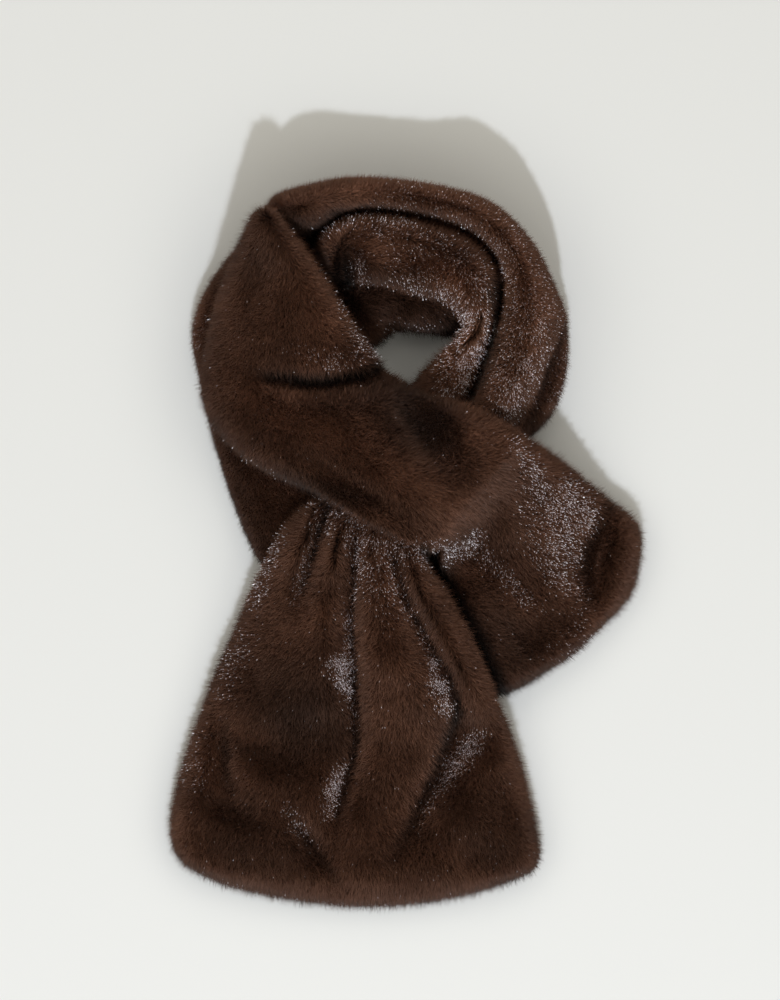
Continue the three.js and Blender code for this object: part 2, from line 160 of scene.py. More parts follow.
@dataclass
class Surface:
    """A pelt's mesh while it is being shaped, as arrays."""

    points: np.ndarray
    faces: list[tuple[int, ...]]

    def __post_init__(self) -> None:
        """Finds the edges, which all later smoothing runs along."""
        pairs = {tuple(sorted((a, b))) for f in self.faces for a, b in zip(f, f[1:] + f[:1])}
        self.edges = np.array(sorted(pairs))

    @classmethod
    def of(cls, mesh: bpy.types.Mesh) -> "Surface":
        """The arrays of a mesh.

        Args:
            mesh: the mesh.

        Returns:
            Its points and faces.
        """
        points = np.zeros(len(mesh.vertices) * 3)
        mesh.vertices.foreach_get("co", points)
        return cls(points.reshape(-1, 3), [tuple(p.vertices) for p in mesh.polygons])

    def eased(self, values: np.ndarray, times: int, amount: float = 0.5) -> np.ndarray:
        """Values evened out between neighbouring points.

        Args:
            values: one value or one row for each point.
            times: how often they are evened out.
            amount: how far each time.

        Returns:
            The evened values.
        """
        a, b = self.edges.T
        count = np.bincount(self.edges.ravel(), minlength=len(self.points))
        shape = (-1,) + (1,) * (values.ndim - 1)
        for _ in range(times):
            total = np.zeros_like(values)
            np.add.at(total, a, values[b])
            np.add.at(total, b, values[a])
            values = values + amount * (total / count.reshape(shape) - values)
        return values

    def normals(self) -> np.ndarray:
        """The outward direction at each point.

        Returns:
            A unit vector for each point.
        """
        quads = np.array([f if len(f) == 4 else (*f, f[-1]) for f in self.faces])
        corner = self.points[quads]
        across = np.cross(corner[:, 2] - corner[:, 0], corner[:, 3] - corner[:, 1])
        total = np.zeros_like(self.points)
        for k in range(4):
            np.add.at(total, quads[:, k], across)
        return total / np.maximum(np.linalg.norm(total, axis=1, keepdims=True), 1e-12)

    def opening(self, ways: np.ndarray) -> np.ndarray:
        """How quickly directions on the surface spread apart.

        Args:
            ways: a unit vector for each point.

        Returns:
            How far apart they get along one metre, for each point; below zero where they close up.
        """
        a, b = self.edges.T
        step = self.points[b] - self.points[a]
        turn = ((ways[b] - ways[a]) * step).sum(1) / np.maximum((step**2).sum(1), 1e-12)
        count = np.bincount(self.edges.ravel(), minlength=len(self.points))
        total = np.zeros(len(self.points))
        np.add.at(total, a, turn)
        np.add.at(total, b, turn)
        return 2.0 * total / np.maximum(count, 1)

    def tree(self) -> BVHTree:
        """The surface as something rays can hit."""
        return BVHTree.FromPolygons(self.points.tolist(), self.faces)


@dataclass(frozen=True)
class FurColoursAndPaintedGlint:
    """The colours and the gloss of dark mink-like plush, with the painted highlight colour for the tips of
    the glossy strands.
    """

    skin: tuple[float, float, float] = (0.055, 0.023, 0.013)
    root: tuple[float, float, float] = (0.055, 0.022, 0.0115)
    tip: tuple[float, float, float] = (0.288, 0.126, 0.074)
    dark: tuple[float, float, float] = (0.158, 0.065, 0.036)
    # painted highlight: the near-white colour laid on the tips of the glossy strands
    glint: tuple[float, float, float] = (0.92, 0.86, 0.94)
    patch_size: float = 22.0
    strand_roughness: float = 0.58
    glint_roughness: float = 0.28
    strand_bend: float = 1.1
    skin_roughness: float = 0.9

    def _tone_group(self) -> bpy.types.NodeTree:
        """The uneven tone of the cloth, which the skin and the strands share.

        Returns:
            A node group from two colours, a patch size and a draw to one colour.
        """
        name = "fur tone"
        if name in bpy.data.node_groups:
            return bpy.data.node_groups[name]
        tree = bpy.data.node_groups.new(name, "ShaderNodeTree")
        face = tree.interface
        for label, kind, value in (
            ("Light", "NodeSocketColor", (*self.tip, 1)),
            ("Dark", "NodeSocketColor", (*self.dark, 1)),
            ("Patches per metre", "NodeSocketFloat", 60.0),
            ("Draw", "NodeSocketFloat", 0.5),
        ):
            face.new_socket(label, in_out="INPUT", socket_type=kind).default_value = value
        face.new_socket("Color", in_out="OUTPUT", socket_type="NodeSocketColor")
        nodes, link = tree.nodes, tree.links.new
        given, out = nodes.new("NodeGroupInput"), nodes.new("NodeGroupOutput")
        place, noise = nodes.new("ShaderNodeTexCoord"), nodes.new("ShaderNodeTexNoise")
        noise.inputs["Detail"].default_value = 3.0
        spread, pull, mix = (
            nodes.new("ShaderNodeMapRange"),
            nodes.new("ShaderNodeMath"),
            nodes.new("ShaderNodeMix"),
        )
        spread.inputs["From Min"].default_value = 0.32
        spread.inputs["From Max"].default_value = 0.68
        pull.operation = "MULTIPLY_ADD"
        pull.inputs[1].default_value = 0.55
        mix.data_type = "RGBA"
        link(place.outputs["Object"], noise.inputs["Vector"])
        link(given.outputs["Patches per metre"], noise.inputs["Scale"])
        link(noise.outputs["Fac"], spread.inputs["Value"])
        link(given.outputs["Draw"], pull.inputs[0])
        link(spread.outputs["Result"], pull.inputs[2])
        scale = nodes.new("ShaderNodeMath")
        scale.operation = "MULTIPLY"
        scale.inputs[1].default_value = 0.65
        link(pull.outputs[0], scale.inputs[0])
        link(scale.outputs[0], mix.inputs["Factor"])
        link(given.outputs["Dark"], mix.inputs["A"])
        link(given.outputs["Light"], mix.inputs["B"])
        link(mix.outputs["Result"], out.inputs["Color"])
        return tree

    def _tone(self, material: bpy.types.Material) -> bpy.types.Node:
        """Places the shared tone group in a material.

        Args:
            material: the material.

        Returns:
            The group's node.
        """
        node = material.node_tree.nodes.new("ShaderNodeGroup")
        node.node_tree = self._tone_group()
        node.inputs["Light"].default_value = (*self.tip, 1)
        node.inputs["Dark"].default_value = (*self.dark, 1)
        node.inputs["Patches per metre"].default_value = 1 / (self.patch_size * MM)
        return node

    def strands(self, glossy: bool) -> bpy.types.Material:
        """The material of one kind of strand.

        Args:
            glossy: whether the strand is glossy and ends in a short painted highlight, a near-white stretch
                of colour.

        Returns:
            A soft fibre, dark at the root and paler towards the tip.
        """
        material = bpy.data.materials.new("glossy strands" if glossy else "pile strands")
        material.use_nodes = True
        nodes, link = material.node_tree.nodes, material.node_tree.links.new
        shader = nodes["Principled BSDF"]
        shader.inputs["Specular IOR Level"].default_value = 0.9 if glossy else 0.35
        shader.inputs["Roughness"].default_value = self.glint_roughness if glossy else self.strand_roughness
        reads = {}
        for label in ("along", "draw", Reach.TONE.value, "axis", "out"):
            reads[label] = nodes.new("ShaderNodeAttribute")
            reads[label].attribute_name = label
        tone = self._tone(material)
        link(reads["draw"].outputs["Fac"], tone.inputs["Draw"])
        rise = nodes.new("ShaderNodeMix")
        rise.data_type = "RGBA"
        rise.inputs["A"].default_value = (*self.root, 1)
        link(reads["along"].outputs["Fac"], rise.inputs["Factor"])
        link(tone.outputs["Color"], rise.inputs["B"])
        # painted light and shade: the strand's colour is scaled by the tone attribute, darker under dark
        # strokes and paler under pale ones
        shade = nodes.new("ShaderNodeVectorMath")
        shade.operation = "SCALE"
        link(rise.outputs["Result"], shade.inputs[0])
        link(reads[Reach.TONE.value].outputs["Fac"], shade.inputs["Scale"])
        colour = shade.outputs[0]
        # painted highlight: the last stretch of a glossy strand turns near-white, more for some strands than
        # for others
        if glossy:
            tip, end = nodes.new("ShaderNodeMapRange"), nodes.new("ShaderNodeMix")
            tip.inputs["From Min"].default_value = 0.87
            tip.inputs["From Max"].default_value = 0.93
            end.data_type = "RGBA"
            end.inputs["B"].default_value = (*self.glint, 1)
            vary, amount = nodes.new("ShaderNodeMapRange"), nodes.new("ShaderNodeMath")
            vary.inputs["To Min"].default_value = 0.3
            amount.operation = "MULTIPLY"
            link(reads["draw"].outputs["Fac"], vary.inputs["Value"])
            link(reads["along"].outputs["Fac"], tip.inputs["Value"])
            link(tip.outputs["Result"], amount.inputs[0])
            link(vary.outputs["Result"], amount.inputs[1])
            link(amount.outputs[0], end.inputs["Factor"])
            link(colour, end.inputs["A"])
            colour = end.outputs["Result"]
        link(colour, shader.inputs["Base Color"])
        link(self._bent(material, reads, 1.0 if glossy else 0.35), shader.inputs["Normal"])
        return material

    def _bent(
        self, material: bpy.types.Material, reads: dict[str, bpy.types.Node], flatness: float
    ) -> bpy.types.NodeSocket:
        """The direction that a strand's surface faces, as if the strand were round and curved.

        Args:
            material: the strands' material.
            reads: the nodes that read the strand's attributes.
            flatness: how much of the strand's own flat face shows, from 0 to 1.

        Returns:
            The socket that gives the direction.
        """
        nodes, link = material.node_tree.nodes, material.node_tree.links.new

        def step(
            kind: str,
            first: bpy.types.NodeSocket,
            second: bpy.types.NodeSocket | float | None = None,
        ) -> bpy.types.Node:
            """One step of arithmetic on vectors.

            Args:
                kind: the operation.
                first: the first vector's socket.
                second: the second vector's socket, or a scale as a socket or a number, if it takes one.

            Returns:
                The step's node.
            """
            node = nodes.new("ShaderNodeVectorMath")
            node.operation = kind
            link(first, node.inputs[0])
            if isinstance(second, float):
                node.inputs["Scale"].default_value = second
            elif second is not None:
                link(second, node.inputs["Scale" if kind == "SCALE" else 1])
            return node

        axis, out = reads["axis"].outputs["Vector"], reads["out"].outputs["Vector"]
        face = nodes.new("ShaderNodeNewGeometry").outputs["Normal"]
        tilt = step("DOT_PRODUCT", out, axis).outputs["Value"]
        side = step("SUBTRACT", out, step("SCALE", axis, tilt).outputs["Vector"]).outputs["Vector"]
        soft = step("SCALE", side, 1.0 - flatness).outputs["Vector"]
        own = step("SCALE", face, flatness).outputs["Vector"]
        curve = nodes.new("ShaderNodeMath")
        curve.operation = "MULTIPLY_ADD"
        curve.inputs[1].default_value = self.strand_bend
        curve.inputs[2].default_value = -self.strand_bend / 2
        link(reads["along"].outputs["Fac"], curve.inputs[0])
        bend = step("SCALE", axis, curve.outputs[0]).outputs["Vector"]
        total = step("ADD", step("ADD", soft, own).outputs["Vector"], bend).outputs["Vector"]
        return step("NORMALIZE", total).outputs["Vector"]

    def skin_cloth(self) -> bpy.types.Material:
        """The material of the pelt under the pile.

        Returns:
            A matt, nearly black-brown ground with a fine tufted relief.
        """
        material = bpy.data.materials.new("pelt ground")
        material.use_nodes = True
        nodes, link = material.node_tree.nodes, material.node_tree.links.new
        shader = nodes["Principled BSDF"]
        shader.inputs["Roughness"].default_value = self.skin_roughness
        shader.inputs["Specular IOR Level"].default_value = 0.2
        tone = self._tone(material)
        tone.inputs["Light"].default_value = (*self.dark, 1)
        tone.inputs["Dark"].default_value = (*self.skin, 1)
        # painted light and shade: the ground's colour is scaled by the tone attribute too
        shade, painted_shading = nodes.new("ShaderNodeVectorMath"), nodes.new("ShaderNodeAttribute")
        shade.operation = "SCALE"
        painted_shading.attribute_name = Reach.TONE.value
        link(tone.outputs["Color"], shade.inputs[0])
        link(painted_shading.outputs["Fac"], shade.inputs["Scale"])
        link(shade.outputs[0], shader.inputs["Base Color"])
        place, tufts, bump = (
            nodes.new("ShaderNodeTexCoord"),
            nodes.new("ShaderNodeTexNoise"),
            nodes.new("ShaderNodeBump"),
        )
        tufts.inputs["Scale"].default_value = 700.0
        bump.inputs["Distance"].default_value = 0.001
        link(place.outputs["Object"], tufts.inputs["Vector"])
        link(tufts.outputs["Fac"], bump.inputs["Height"])
        link(bump.outputs["Normal"], shader.inputs["Normal"])
        return material


@dataclass(frozen=True)
class Hair:
    """One kind of hair in the pile, in millimetres and strands per square millimetre."""

    name: str
    length: float
    width: float
    density: float
    upright: float
    lean: float
    clumping: float
    spread: float
    glossy: bool
    seed: int


class PileTree:
    """The Geometry Nodes tree that sets strands on a pelt."""

    INPUTS: tuple[tuple[str, str, float | int | None], ...] = (
        ("Strand", "NodeSocketObject", None),
        ("Strands per square metre", "NodeSocketFloat", 1e6),
        ("Strand length", "NodeSocketFloat", 0.01),
        ("Strand width", "NodeSocketFloat", 0.0004),
        ("Upright", "NodeSocketFloat", 0.7),
        ("Lean", "NodeSocketFloat", 0.7),
        ("Clumping", "NodeSocketFloat", 0.3),
        ("Tufts per metre", "NodeSocketFloat", 230.0),
        ("Spread", "NodeSocketFloat", 0.4),
        ("Only where glossy", "NodeSocketFloat", 0.0),
        ("Facing", "NodeSocketVector", (0.0, -0.33, 0.94)),
        ("Seed", "NodeSocketInt", 1),
        ("Finish", "NodeSocketMaterial", None),
    )

    def __init__(self) -> None:
        """Builds the tree with its named inputs."""
        self.tree = bpy.data.node_groups.new("pile", "GeometryNodeTree")
        face = self.tree.interface
        face.new_socket("Geometry", in_out="INPUT", socket_type="NodeSocketGeometry")
        self.keys: dict[str, str] = {}
        for label, kind, value in self.INPUTS:
            socket = face.new_socket(label, in_out="INPUT", socket_type=kind)
            self.keys[label] = socket.identifier
            if value is not None:
                socket.default_value = value
        face.new_socket("Geometry", in_out="OUTPUT", socket_type="NodeSocketGeometry")
        self._plant()

    def _node(self, kind: str, **settings: object) -> bpy.types.Node:
        """Adds a node.

        Args:
            kind: the node's type.
            settings: its properties.

        Returns:
            The node.
        """
        node = self.tree.nodes.new(kind)
        for key, value in settings.items():
            setattr(node, key, value)
        return node

    def _read(self, name: str, kind: str) -> bpy.types.NodeSocket:
        """A named attribute of the pelt.

        Args:
            name: the attribute's name.
            kind: its data type.

        Returns:
            The socket that gives it.
        """
        node = self._node("GeometryNodeInputNamedAttribute", data_type=kind)
        node.inputs["Name"].default_value = name
        return node.outputs["Attribute"]

    def _worked(
        self,
        kind: str,
        operation: str,
        first: bpy.types.NodeSocket,
        second: bpy.types.NodeSocket,
        place: int | str = 1,
    ) -> bpy.types.NodeSocket:
        """One step of arithmetic on two values.

        Args:
            kind: the node's type.
            operation: what it does.
            first: the first value's socket.
            second: the second value's socket.
            place: the input that the second value goes into.

        Returns:
            The result's socket.
        """
        node = self._node(kind, operation=operation)
        self.tree.links.new(first, node.inputs[0])
        self.tree.links.new(second, node.inputs[place])
        return node.outputs[0]

    def _scaled(self, vector: bpy.types.NodeSocket, factor: bpy.types.NodeSocket) -> bpy.types.NodeSocket:
        """A vector times a number."""
        return self._worked("ShaderNodeVectorMath", "SCALE", vector, factor, "Scale")

    def _sum(self, first: bpy.types.NodeSocket, second: bpy.types.NodeSocket) -> bpy.types.NodeSocket:
        """The sum of two vectors."""
        return self._worked("ShaderNodeVectorMath", "ADD", first, second)

    def _product(self, first: bpy.types.NodeSocket, second: bpy.types.NodeSocket) -> bpy.types.NodeSocket:
        """The product of two numbers."""
        return self._worked("ShaderNodeMath", "MULTIPLY", first, second)

    def _seed(self, draw: bpy.types.Node, given: bpy.types.Node, step: float) -> None:
        """Gives a random draw a seed of its own.

        Args:
            draw: the node that draws.
            given: the tree's inputs.
            step: how far its seed is from the pile's.
        """
        moved = self._node("ShaderNodeMath", operation="ADD")
        moved.inputs[1].default_value = step
        self.tree.links.new(given.outputs["Seed"], moved.inputs[0])
        self.tree.links.new(moved.outputs[0], draw.inputs["Seed"])

    def _plant(self) -> None:
        """Scatters the strands, turns each to the nap, and makes them one mesh."""
        link = self.tree.links.new
        given = self._node("NodeGroupInput")
        scatter = self._node("GeometryNodeDistributePointsOnFaces", distribute_method="RANDOM")
        link(given.outputs["Geometry"], scatter.inputs["Mesh"])
        density = self._product(
            given.outputs["Strands per square metre"], self._read(Reach.PILE.value, "FLOAT")
        )
        sparse = self._node("ShaderNodeMath", operation="MULTIPLY_ADD")
        missing = self._node("ShaderNodeMath", operation="SUBTRACT")
        missing.inputs[1].default_value = 1.0
        link(self._read(Reach.GLOSS.value, "FLOAT"), missing.inputs[0])
        link(missing.outputs[0], sparse.inputs[0])
        link(given.outputs["Only where glossy"], sparse.inputs[1])
        sparse.inputs[2].default_value = 1.0
        link(self._product(density, sparse.outputs[0]), scatter.inputs["Density"])
        link(given.outputs["Seed"], scatter.inputs["Seed"])

        noise = self._node("ShaderNodeTexNoise")
        noise.inputs["Detail"].default_value = 2.0
        place = self._node("GeometryNodeInputPosition")
        link(place.outputs["Position"], noise.inputs["Vector"])
        link(given.outputs["Tufts per metre"], noise.inputs["Scale"])
        middle = self._node("ShaderNodeVectorMath", operation="SUBTRACT")
        middle.inputs[1].default_value = (0.5, 0.5, 0.5)
        link(noise.outputs["Color"], middle.inputs[0])
        loose = self._node("FunctionNodeRandomValue", data_type="FLOAT_VECTOR")
        loose.inputs["Min"].default_value = (-1, -1, -1)
        loose.inputs["Max"].default_value = (1, 1, 1)
        link(given.outputs["Seed"], loose.inputs["Seed"])

        gloss = self._read(Reach.GLOSS.value, "FLOAT")
        flatten = self._node("ShaderNodeMath", operation="MULTIPLY_ADD")
        flatten.inputs[1].default_value = -0.15
        flatten.inputs[2].default_value = 1.0
        link(gloss, flatten.inputs[0])
        upright = self._product(given.outputs["Upright"], flatten.outputs[0])
        heading = self._sum(
            self._sum(
                self._scaled(self._read(Reach.OUT.value, "FLOAT_VECTOR"), upright),
                self._scaled(self._read(Reach.NAP.value, "FLOAT_VECTOR"), given.outputs["Lean"]),
            ),
            self._sum(
                self._scaled(middle.outputs[0], given.outputs["Clumping"]),
                self._scaled(loose.outputs["Value"], given.outputs["Spread"]),
            ),
        )
        unit = self._node("ShaderNodeVectorMath", operation="NORMALIZE")
        link(heading, unit.inputs[0])
        upend = self._node("FunctionNodeAlignRotationToVector", axis="Z")
        link(unit.outputs[0], upend.inputs["Vector"])
        align = self._node("FunctionNodeAlignRotationToVector", axis="Y", pivot_axis="Z")
        link(upend.outputs["Rotation"], align.inputs["Rotation"])
        link(given.outputs["Facing"], align.inputs["Vector"])
        link(gloss, align.inputs["Factor"])
        headed = self._node("GeometryNodeStoreNamedAttribute", data_type="FLOAT_VECTOR", domain="POINT")
        headed.inputs["Name"].default_value = "axis"
        link(scatter.outputs["Points"], headed.inputs["Geometry"])
        link(unit.outputs[0], headed.inputs["Value"])
        roll = self._node("FunctionNodeRandomValue", data_type="FLOAT")
        roll.inputs[2].default_value = -math.pi / 2
        roll.inputs[3].default_value = math.pi / 2
        steady = self._node("ShaderNodeMath", operation="MULTIPLY_ADD")
        steady.inputs[1].default_value = -0.7
        steady.inputs[2].default_value = 1.0
        link(gloss, steady.inputs[0])
        self._seed(roll, given, 11.0)
        spin = self._node("FunctionNodeAxisAngleToRotation")
        spin.inputs["Axis"].default_value = (0, 0, 1)
        link(self._product(roll.outputs[1], steady.outputs[0]), spin.inputs["Angle"])
        turn = self._node("FunctionNodeRotateRotation", rotation_space="LOCAL")
        link(align.outputs["Rotation"], turn.inputs["Rotation"])
        link(spin.outputs["Rotation"], turn.inputs["Rotate By"])

        vary = self._node("FunctionNodeRandomValue", data_type="FLOAT")
        vary.inputs[2].default_value = 0.65
        vary.inputs[3].default_value = 1.15
        self._seed(vary, given, 23.0)
        length = self._product(
            self._product(given.outputs["Strand length"], vary.outputs[1]),
            self._read(Reach.DEEP.value, "FLOAT"),
        )
        size = self._node("ShaderNodeCombineXYZ")
        link(given.outputs["Strand width"], size.inputs["X"])
        link(given.outputs["Strand width"], size.inputs["Y"])
        link(length, size.inputs["Z"])

        strand = self._node("GeometryNodeObjectInfo")
        link(given.outputs["Strand"], strand.inputs["Object"])
        place_all = self._node("GeometryNodeInstanceOnPoints")
        link(headed.outputs["Geometry"], place_all.inputs["Points"])
        link(strand.outputs["Geometry"], place_all.inputs["Instance"])
        link(turn.outputs["Rotation"], place_all.inputs["Rotation"])
        link(size.outputs["Vector"], place_all.inputs["Scale"])

        draw = self._node("GeometryNodeStoreNamedAttribute", data_type="FLOAT", domain="INSTANCE")
        draw.inputs["Name"].default_value = "draw"
        drawn = self._node("FunctionNodeRandomValue", data_type="FLOAT")
        self._seed(drawn, given, 37.0)
        link(place_all.outputs["Instances"], draw.inputs["Geometry"])
        link(drawn.outputs[1], draw.inputs["Value"])

        real = self._node("GeometryNodeRealizeInstances")
        keep_up = self._node("GeometryNodeSetPosition")
        above = self._node("ShaderNodeVectorMath", operation="MAXIMUM")
        above.inputs[1].default_value = (-10.0, -10.0, 0.0003)
        dress = self._node("GeometryNodeSetMaterial")
        out = self._node("NodeGroupOutput")
        link(draw.outputs["Geometry"], real.inputs["Geometry"])
        link(place.outputs["Position"], above.inputs[0])
        link(real.outputs["Geometry"], keep_up.inputs["Geometry"])
        link(above.outputs[0], keep_up.inputs["Position"])
        link(keep_up.outputs["Geometry"], dress.inputs["Geometry"])
        link(given.outputs["Finish"], dress.inputs["Material"])
        link(dress.outputs["Geometry"], out.inputs["Geometry"])

    @staticmethod
    def strand(glossy: bool) -> bpy.types.Object:
        """One flat strand of unit length and width.

        Args:
            glossy: whether it widens towards its end with the painted highlight; a plain one narrows to a
                point.

        Returns:
            The strand as an object, to be removed once the pile is made.
        """
        wide, narrow = (1.0, 0.0) if glossy else (0.0, 1.0)
        mesh = bpy.data.meshes.new("strand")
        mesh.from_pydata([(-0.5, 0.0, wide), (0.5, 0.0, wide), (0.0, 0.0, narrow)], [], [(0, 1, 2)])
        along = mesh.attributes.new("along", "FLOAT", "POINT")
        along.data.foreach_set("value", [wide, wide, narrow])
        made = bpy.data.objects.new("strand", mesh)
        bpy.context.scene.collection.objects.link(made)
        return made

    def grow(self, pelt: bpy.types.Object, hair: Hair, finish: bpy.types.Material) -> bpy.types.Object:
        """Sets one kind of hair on a pelt.

        Args:
            pelt: the pelt, with its attributes.
            hair: the kind of hair.
            finish: its material.

        Returns:
            The hair as one plain mesh object.
        """
        strand = self.strand(hair.glossy)
        values = {
            "Strand": strand,
            "Strands per square metre": hair.density * 1e6,
            "Strand length": hair.length * MM,
            "Strand width": hair.width * MM,
            "Upright": hair.upright,
            "Lean": hair.lean,
            "Clumping": hair.clumping,
            "Spread": hair.spread,
            "Only where glossy": float(hair.glossy),
            "Seed": hair.seed,
            "Finish": finish,
        }
        bed = bpy.data.objects.new("bed", pelt.data.copy())
        bpy.context.scene.collection.objects.link(bed)
        modifier = bed.modifiers.new("pile", "NODES")
        modifier.node_group = self.tree
        for label, value in values.items():
            modifier[self.keys[label]] = value
        graph = bpy.context.evaluated_depsgraph_get()
        mesh = bpy.data.meshes.new_from_object(bed.evaluated_get(graph))
        bed.modifiers.clear()
        bpy.data.objects.remove(bed)
        bpy.data.objects.remove(strand)
        for extra in (Reach.NAP.value, Reach.PILE.value, Reach.DEEP.value, Reach.GLOSS.value):
            if extra in mesh.attributes:
                mesh.attributes.remove(mesh.attributes[extra])
        made = bpy.data.objects.new(f"{pelt.name}_{hair.name}", mesh)
        bpy.context.scene.collection.objects.link(made)
        return made


@dataclass(frozen=True)
class Pelt:
    """One stretch of the doubled cloth, as it lies, in millimetres.

    cut is the width and the length of the flat cloth that shows in this stretch, and is not used; area is
    its area.
    """

    name: str
    nodes: tuple[str, ...]
    cut: tuple[float, float]
    area: float
    held: Held
    rests_on: tuple[str, ...]
    nap: tuple[tuple[tuple[float, float], ...], ...]
    creases: tuple[Stroke, ...] = ()
    # gloss places the glossy strands with painted highlight tips; dark lays painted shade and pale lays
    # painted light on the pile's colour
    gloss: tuple[Stroke, ...] = ()
    dark: tuple[Stroke, ...] = ()
    pale: tuple[Stroke, ...] = ()
    under: float = 4.3
    guard: float = 1.8
    # how many glossy strands with painted highlight tips grow on each square millimetre where the gloss is
    # full
    glints: float = 2.8
    tips: float = 3.6
    fan: float = 5.0
    seed: int = 1
    voxel: float = 2.6
    join: float = 3.0
    sink: float = 4.6
    pile: float = 0.88

    def _cloth(self) -> bpy.types.Mesh:
        """One closed mesh of even squares around the stretch's solids.

        Returns:
            The mesh.
        """
        points: list[tuple[float, float, float]] = []
        faces: list[tuple[int, ...]] = []
        for node in self.nodes:
            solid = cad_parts[node].data
            start = len(points)
            points += [tuple(v.co) for v in solid.vertices]
            faces += [tuple(start + k for k in p.vertices) for p in solid.polygons]
        mesh = bpy.data.meshes.new("cloth")
        mesh.from_pydata(points, [], faces)
        made = bpy.data.objects.new("cloth", mesh)
        bpy.context.scene.collection.objects.link(made)
        weld = made.modifiers.new("weld", "WELD")
        weld.merge_threshold = 1e-5
        swells = (self.join, -self.join) if len(self.nodes) > 1 else ()
        for swell in (0.0, *swells):
            if swell:
                shift = made.modifiers.new("swell", "DISPLACE")
                shift.strength = swell * MM
                shift.mid_level = 0.0
            remesh = made.modifiers.new("even", "REMESH")
            remesh.mode = "VOXEL"
            remesh.voxel_size = self.voxel * MM
        graph = bpy.context.evaluated_depsgraph_get()
        even = bpy.data.meshes.new_from_object(made.evaluated_get(graph))
        made.modifiers.clear()
        bpy.data.objects.remove(made)
        return even

    def _shape(self) -> Surface:
        """Smooths the stretch, presses its creases in and draws the skin in under the pile.

        Returns:
            The skin's surface.
        """
        skin = Surface.of(self._cloth())
        skin.points = skin.eased(skin.points, 8)
        plan = skin.points[:, :2] / MM
        up = np.clip(skin.normals()[:, 2], 0.0, 1.0)
        pressed = strongest(self.creases, plan)
        soft = smooth_noise(skin.points, 24.0, self.seed) * 0.9 + smooth_noise(
            skin.points, 9.0, self.seed + 50
        ) * 0.35
        skin.points[:, 2] += (soft - pressed) * up * MM
        skin.points = skin.eased(skin.points, 1)
        out = skin.normals()
        tree = skin.tree()
        depth = np.full(len(skin.points), self.sink * MM)
        for k, (point, way) in enumerate(zip(skin.points, out)):
            start, inward = Vector(point) - Vector(way) * 1e-4, -Vector(way)
            hit = tree.ray_cast(start, inward)
            if hit[3] is not None:
                depth[k] = min(depth[k], 0.3 * hit[3])
        depth *= np.clip((out[:, 2] + 0.75) / 0.6, 0.0, 1.0)
        skin.points = skin.points - out * skin.eased(depth, 6)[:, None]
        skin.points[:, 2] = np.maximum(skin.points[:, 2], 0.0004)
        skin.points = skin.eased(skin.points, 2)
        return skin

    def _nap(self, skin: Surface, out: np.ndarray) -> np.ndarray:
        """Which way the pile lies.

        Args:
            skin: the skin's surface.
            out: its normals.

        Returns:
            A vector along the surface for each point.
        """
        plan = skin.points[:, :2] / MM
        total = np.zeros((len(plan), 3))
        for line in self.nap:
            for start, end in zip(line, line[1:]):
                begin, run = on_plan(*start), on_plan(*end) - on_plan(*start)
                share = np.clip((plan - begin) @ run / (run @ run), 0.0, 1.0)
                away = plan - (begin + share[:, None] * run)
                weight = 1.0 / ((away**2).sum(1) + 60.0) ** 1.5
                total[:, :2] += weight[:, None] * run / np.hypot(*run)
        total -= out * (total * out).sum(1, keepdims=True)
        return total / np.maximum(np.linalg.norm(total, axis=1, keepdims=True), 1e-12)

    def build(self, ground: bpy.types.Material) -> bpy.types.Object:
        """Makes the skin.

        Args:
            ground: the skin's material.

        Returns:
            The skin as an object, with the attributes that the pile reads.
        """
        skin = self._shape()
        out = skin.normals()
        mesh = bpy.data.meshes.new(self.name)
        mesh.from_pydata(skin.points.tolist(), [], skin.faces)
        mesh.shade_smooth()
        mesh.materials.append(ground)
        nap = self._nap(skin, out)
        plan = skin.points[:, :2] / MM + self.tips * nap[:, :2]
        # painted shade: dark strokes darken creases, valleys and hollows, thin the pile there and keep
        # glints out
        dark = np.clip(strongest(self.dark, plan), 0.0, 1.0)
        # where glossy strands with painted highlight tips grow; fewer on faces that turn down, none in the
        # painted shade
        shine = strongest(self.gloss, plan) * np.clip(out[:, 2] + 0.3, 0.0, 1.0) * (1.0 - dark) ** 1.5
        broken = 0.75 + 0.45 * smooth_noise(skin.points, 5.0, self.seed + 90)
        shine = np.clip(np.clip(shine, 0.0, 1.0) ** 1.5 * broken, 0.0025, 1.0)
        # painted light and shade: darker under the dark strokes, paler under the pale strokes
        tone = (1.0 - dark) * (1.0 + strongest(self.pale, plan))
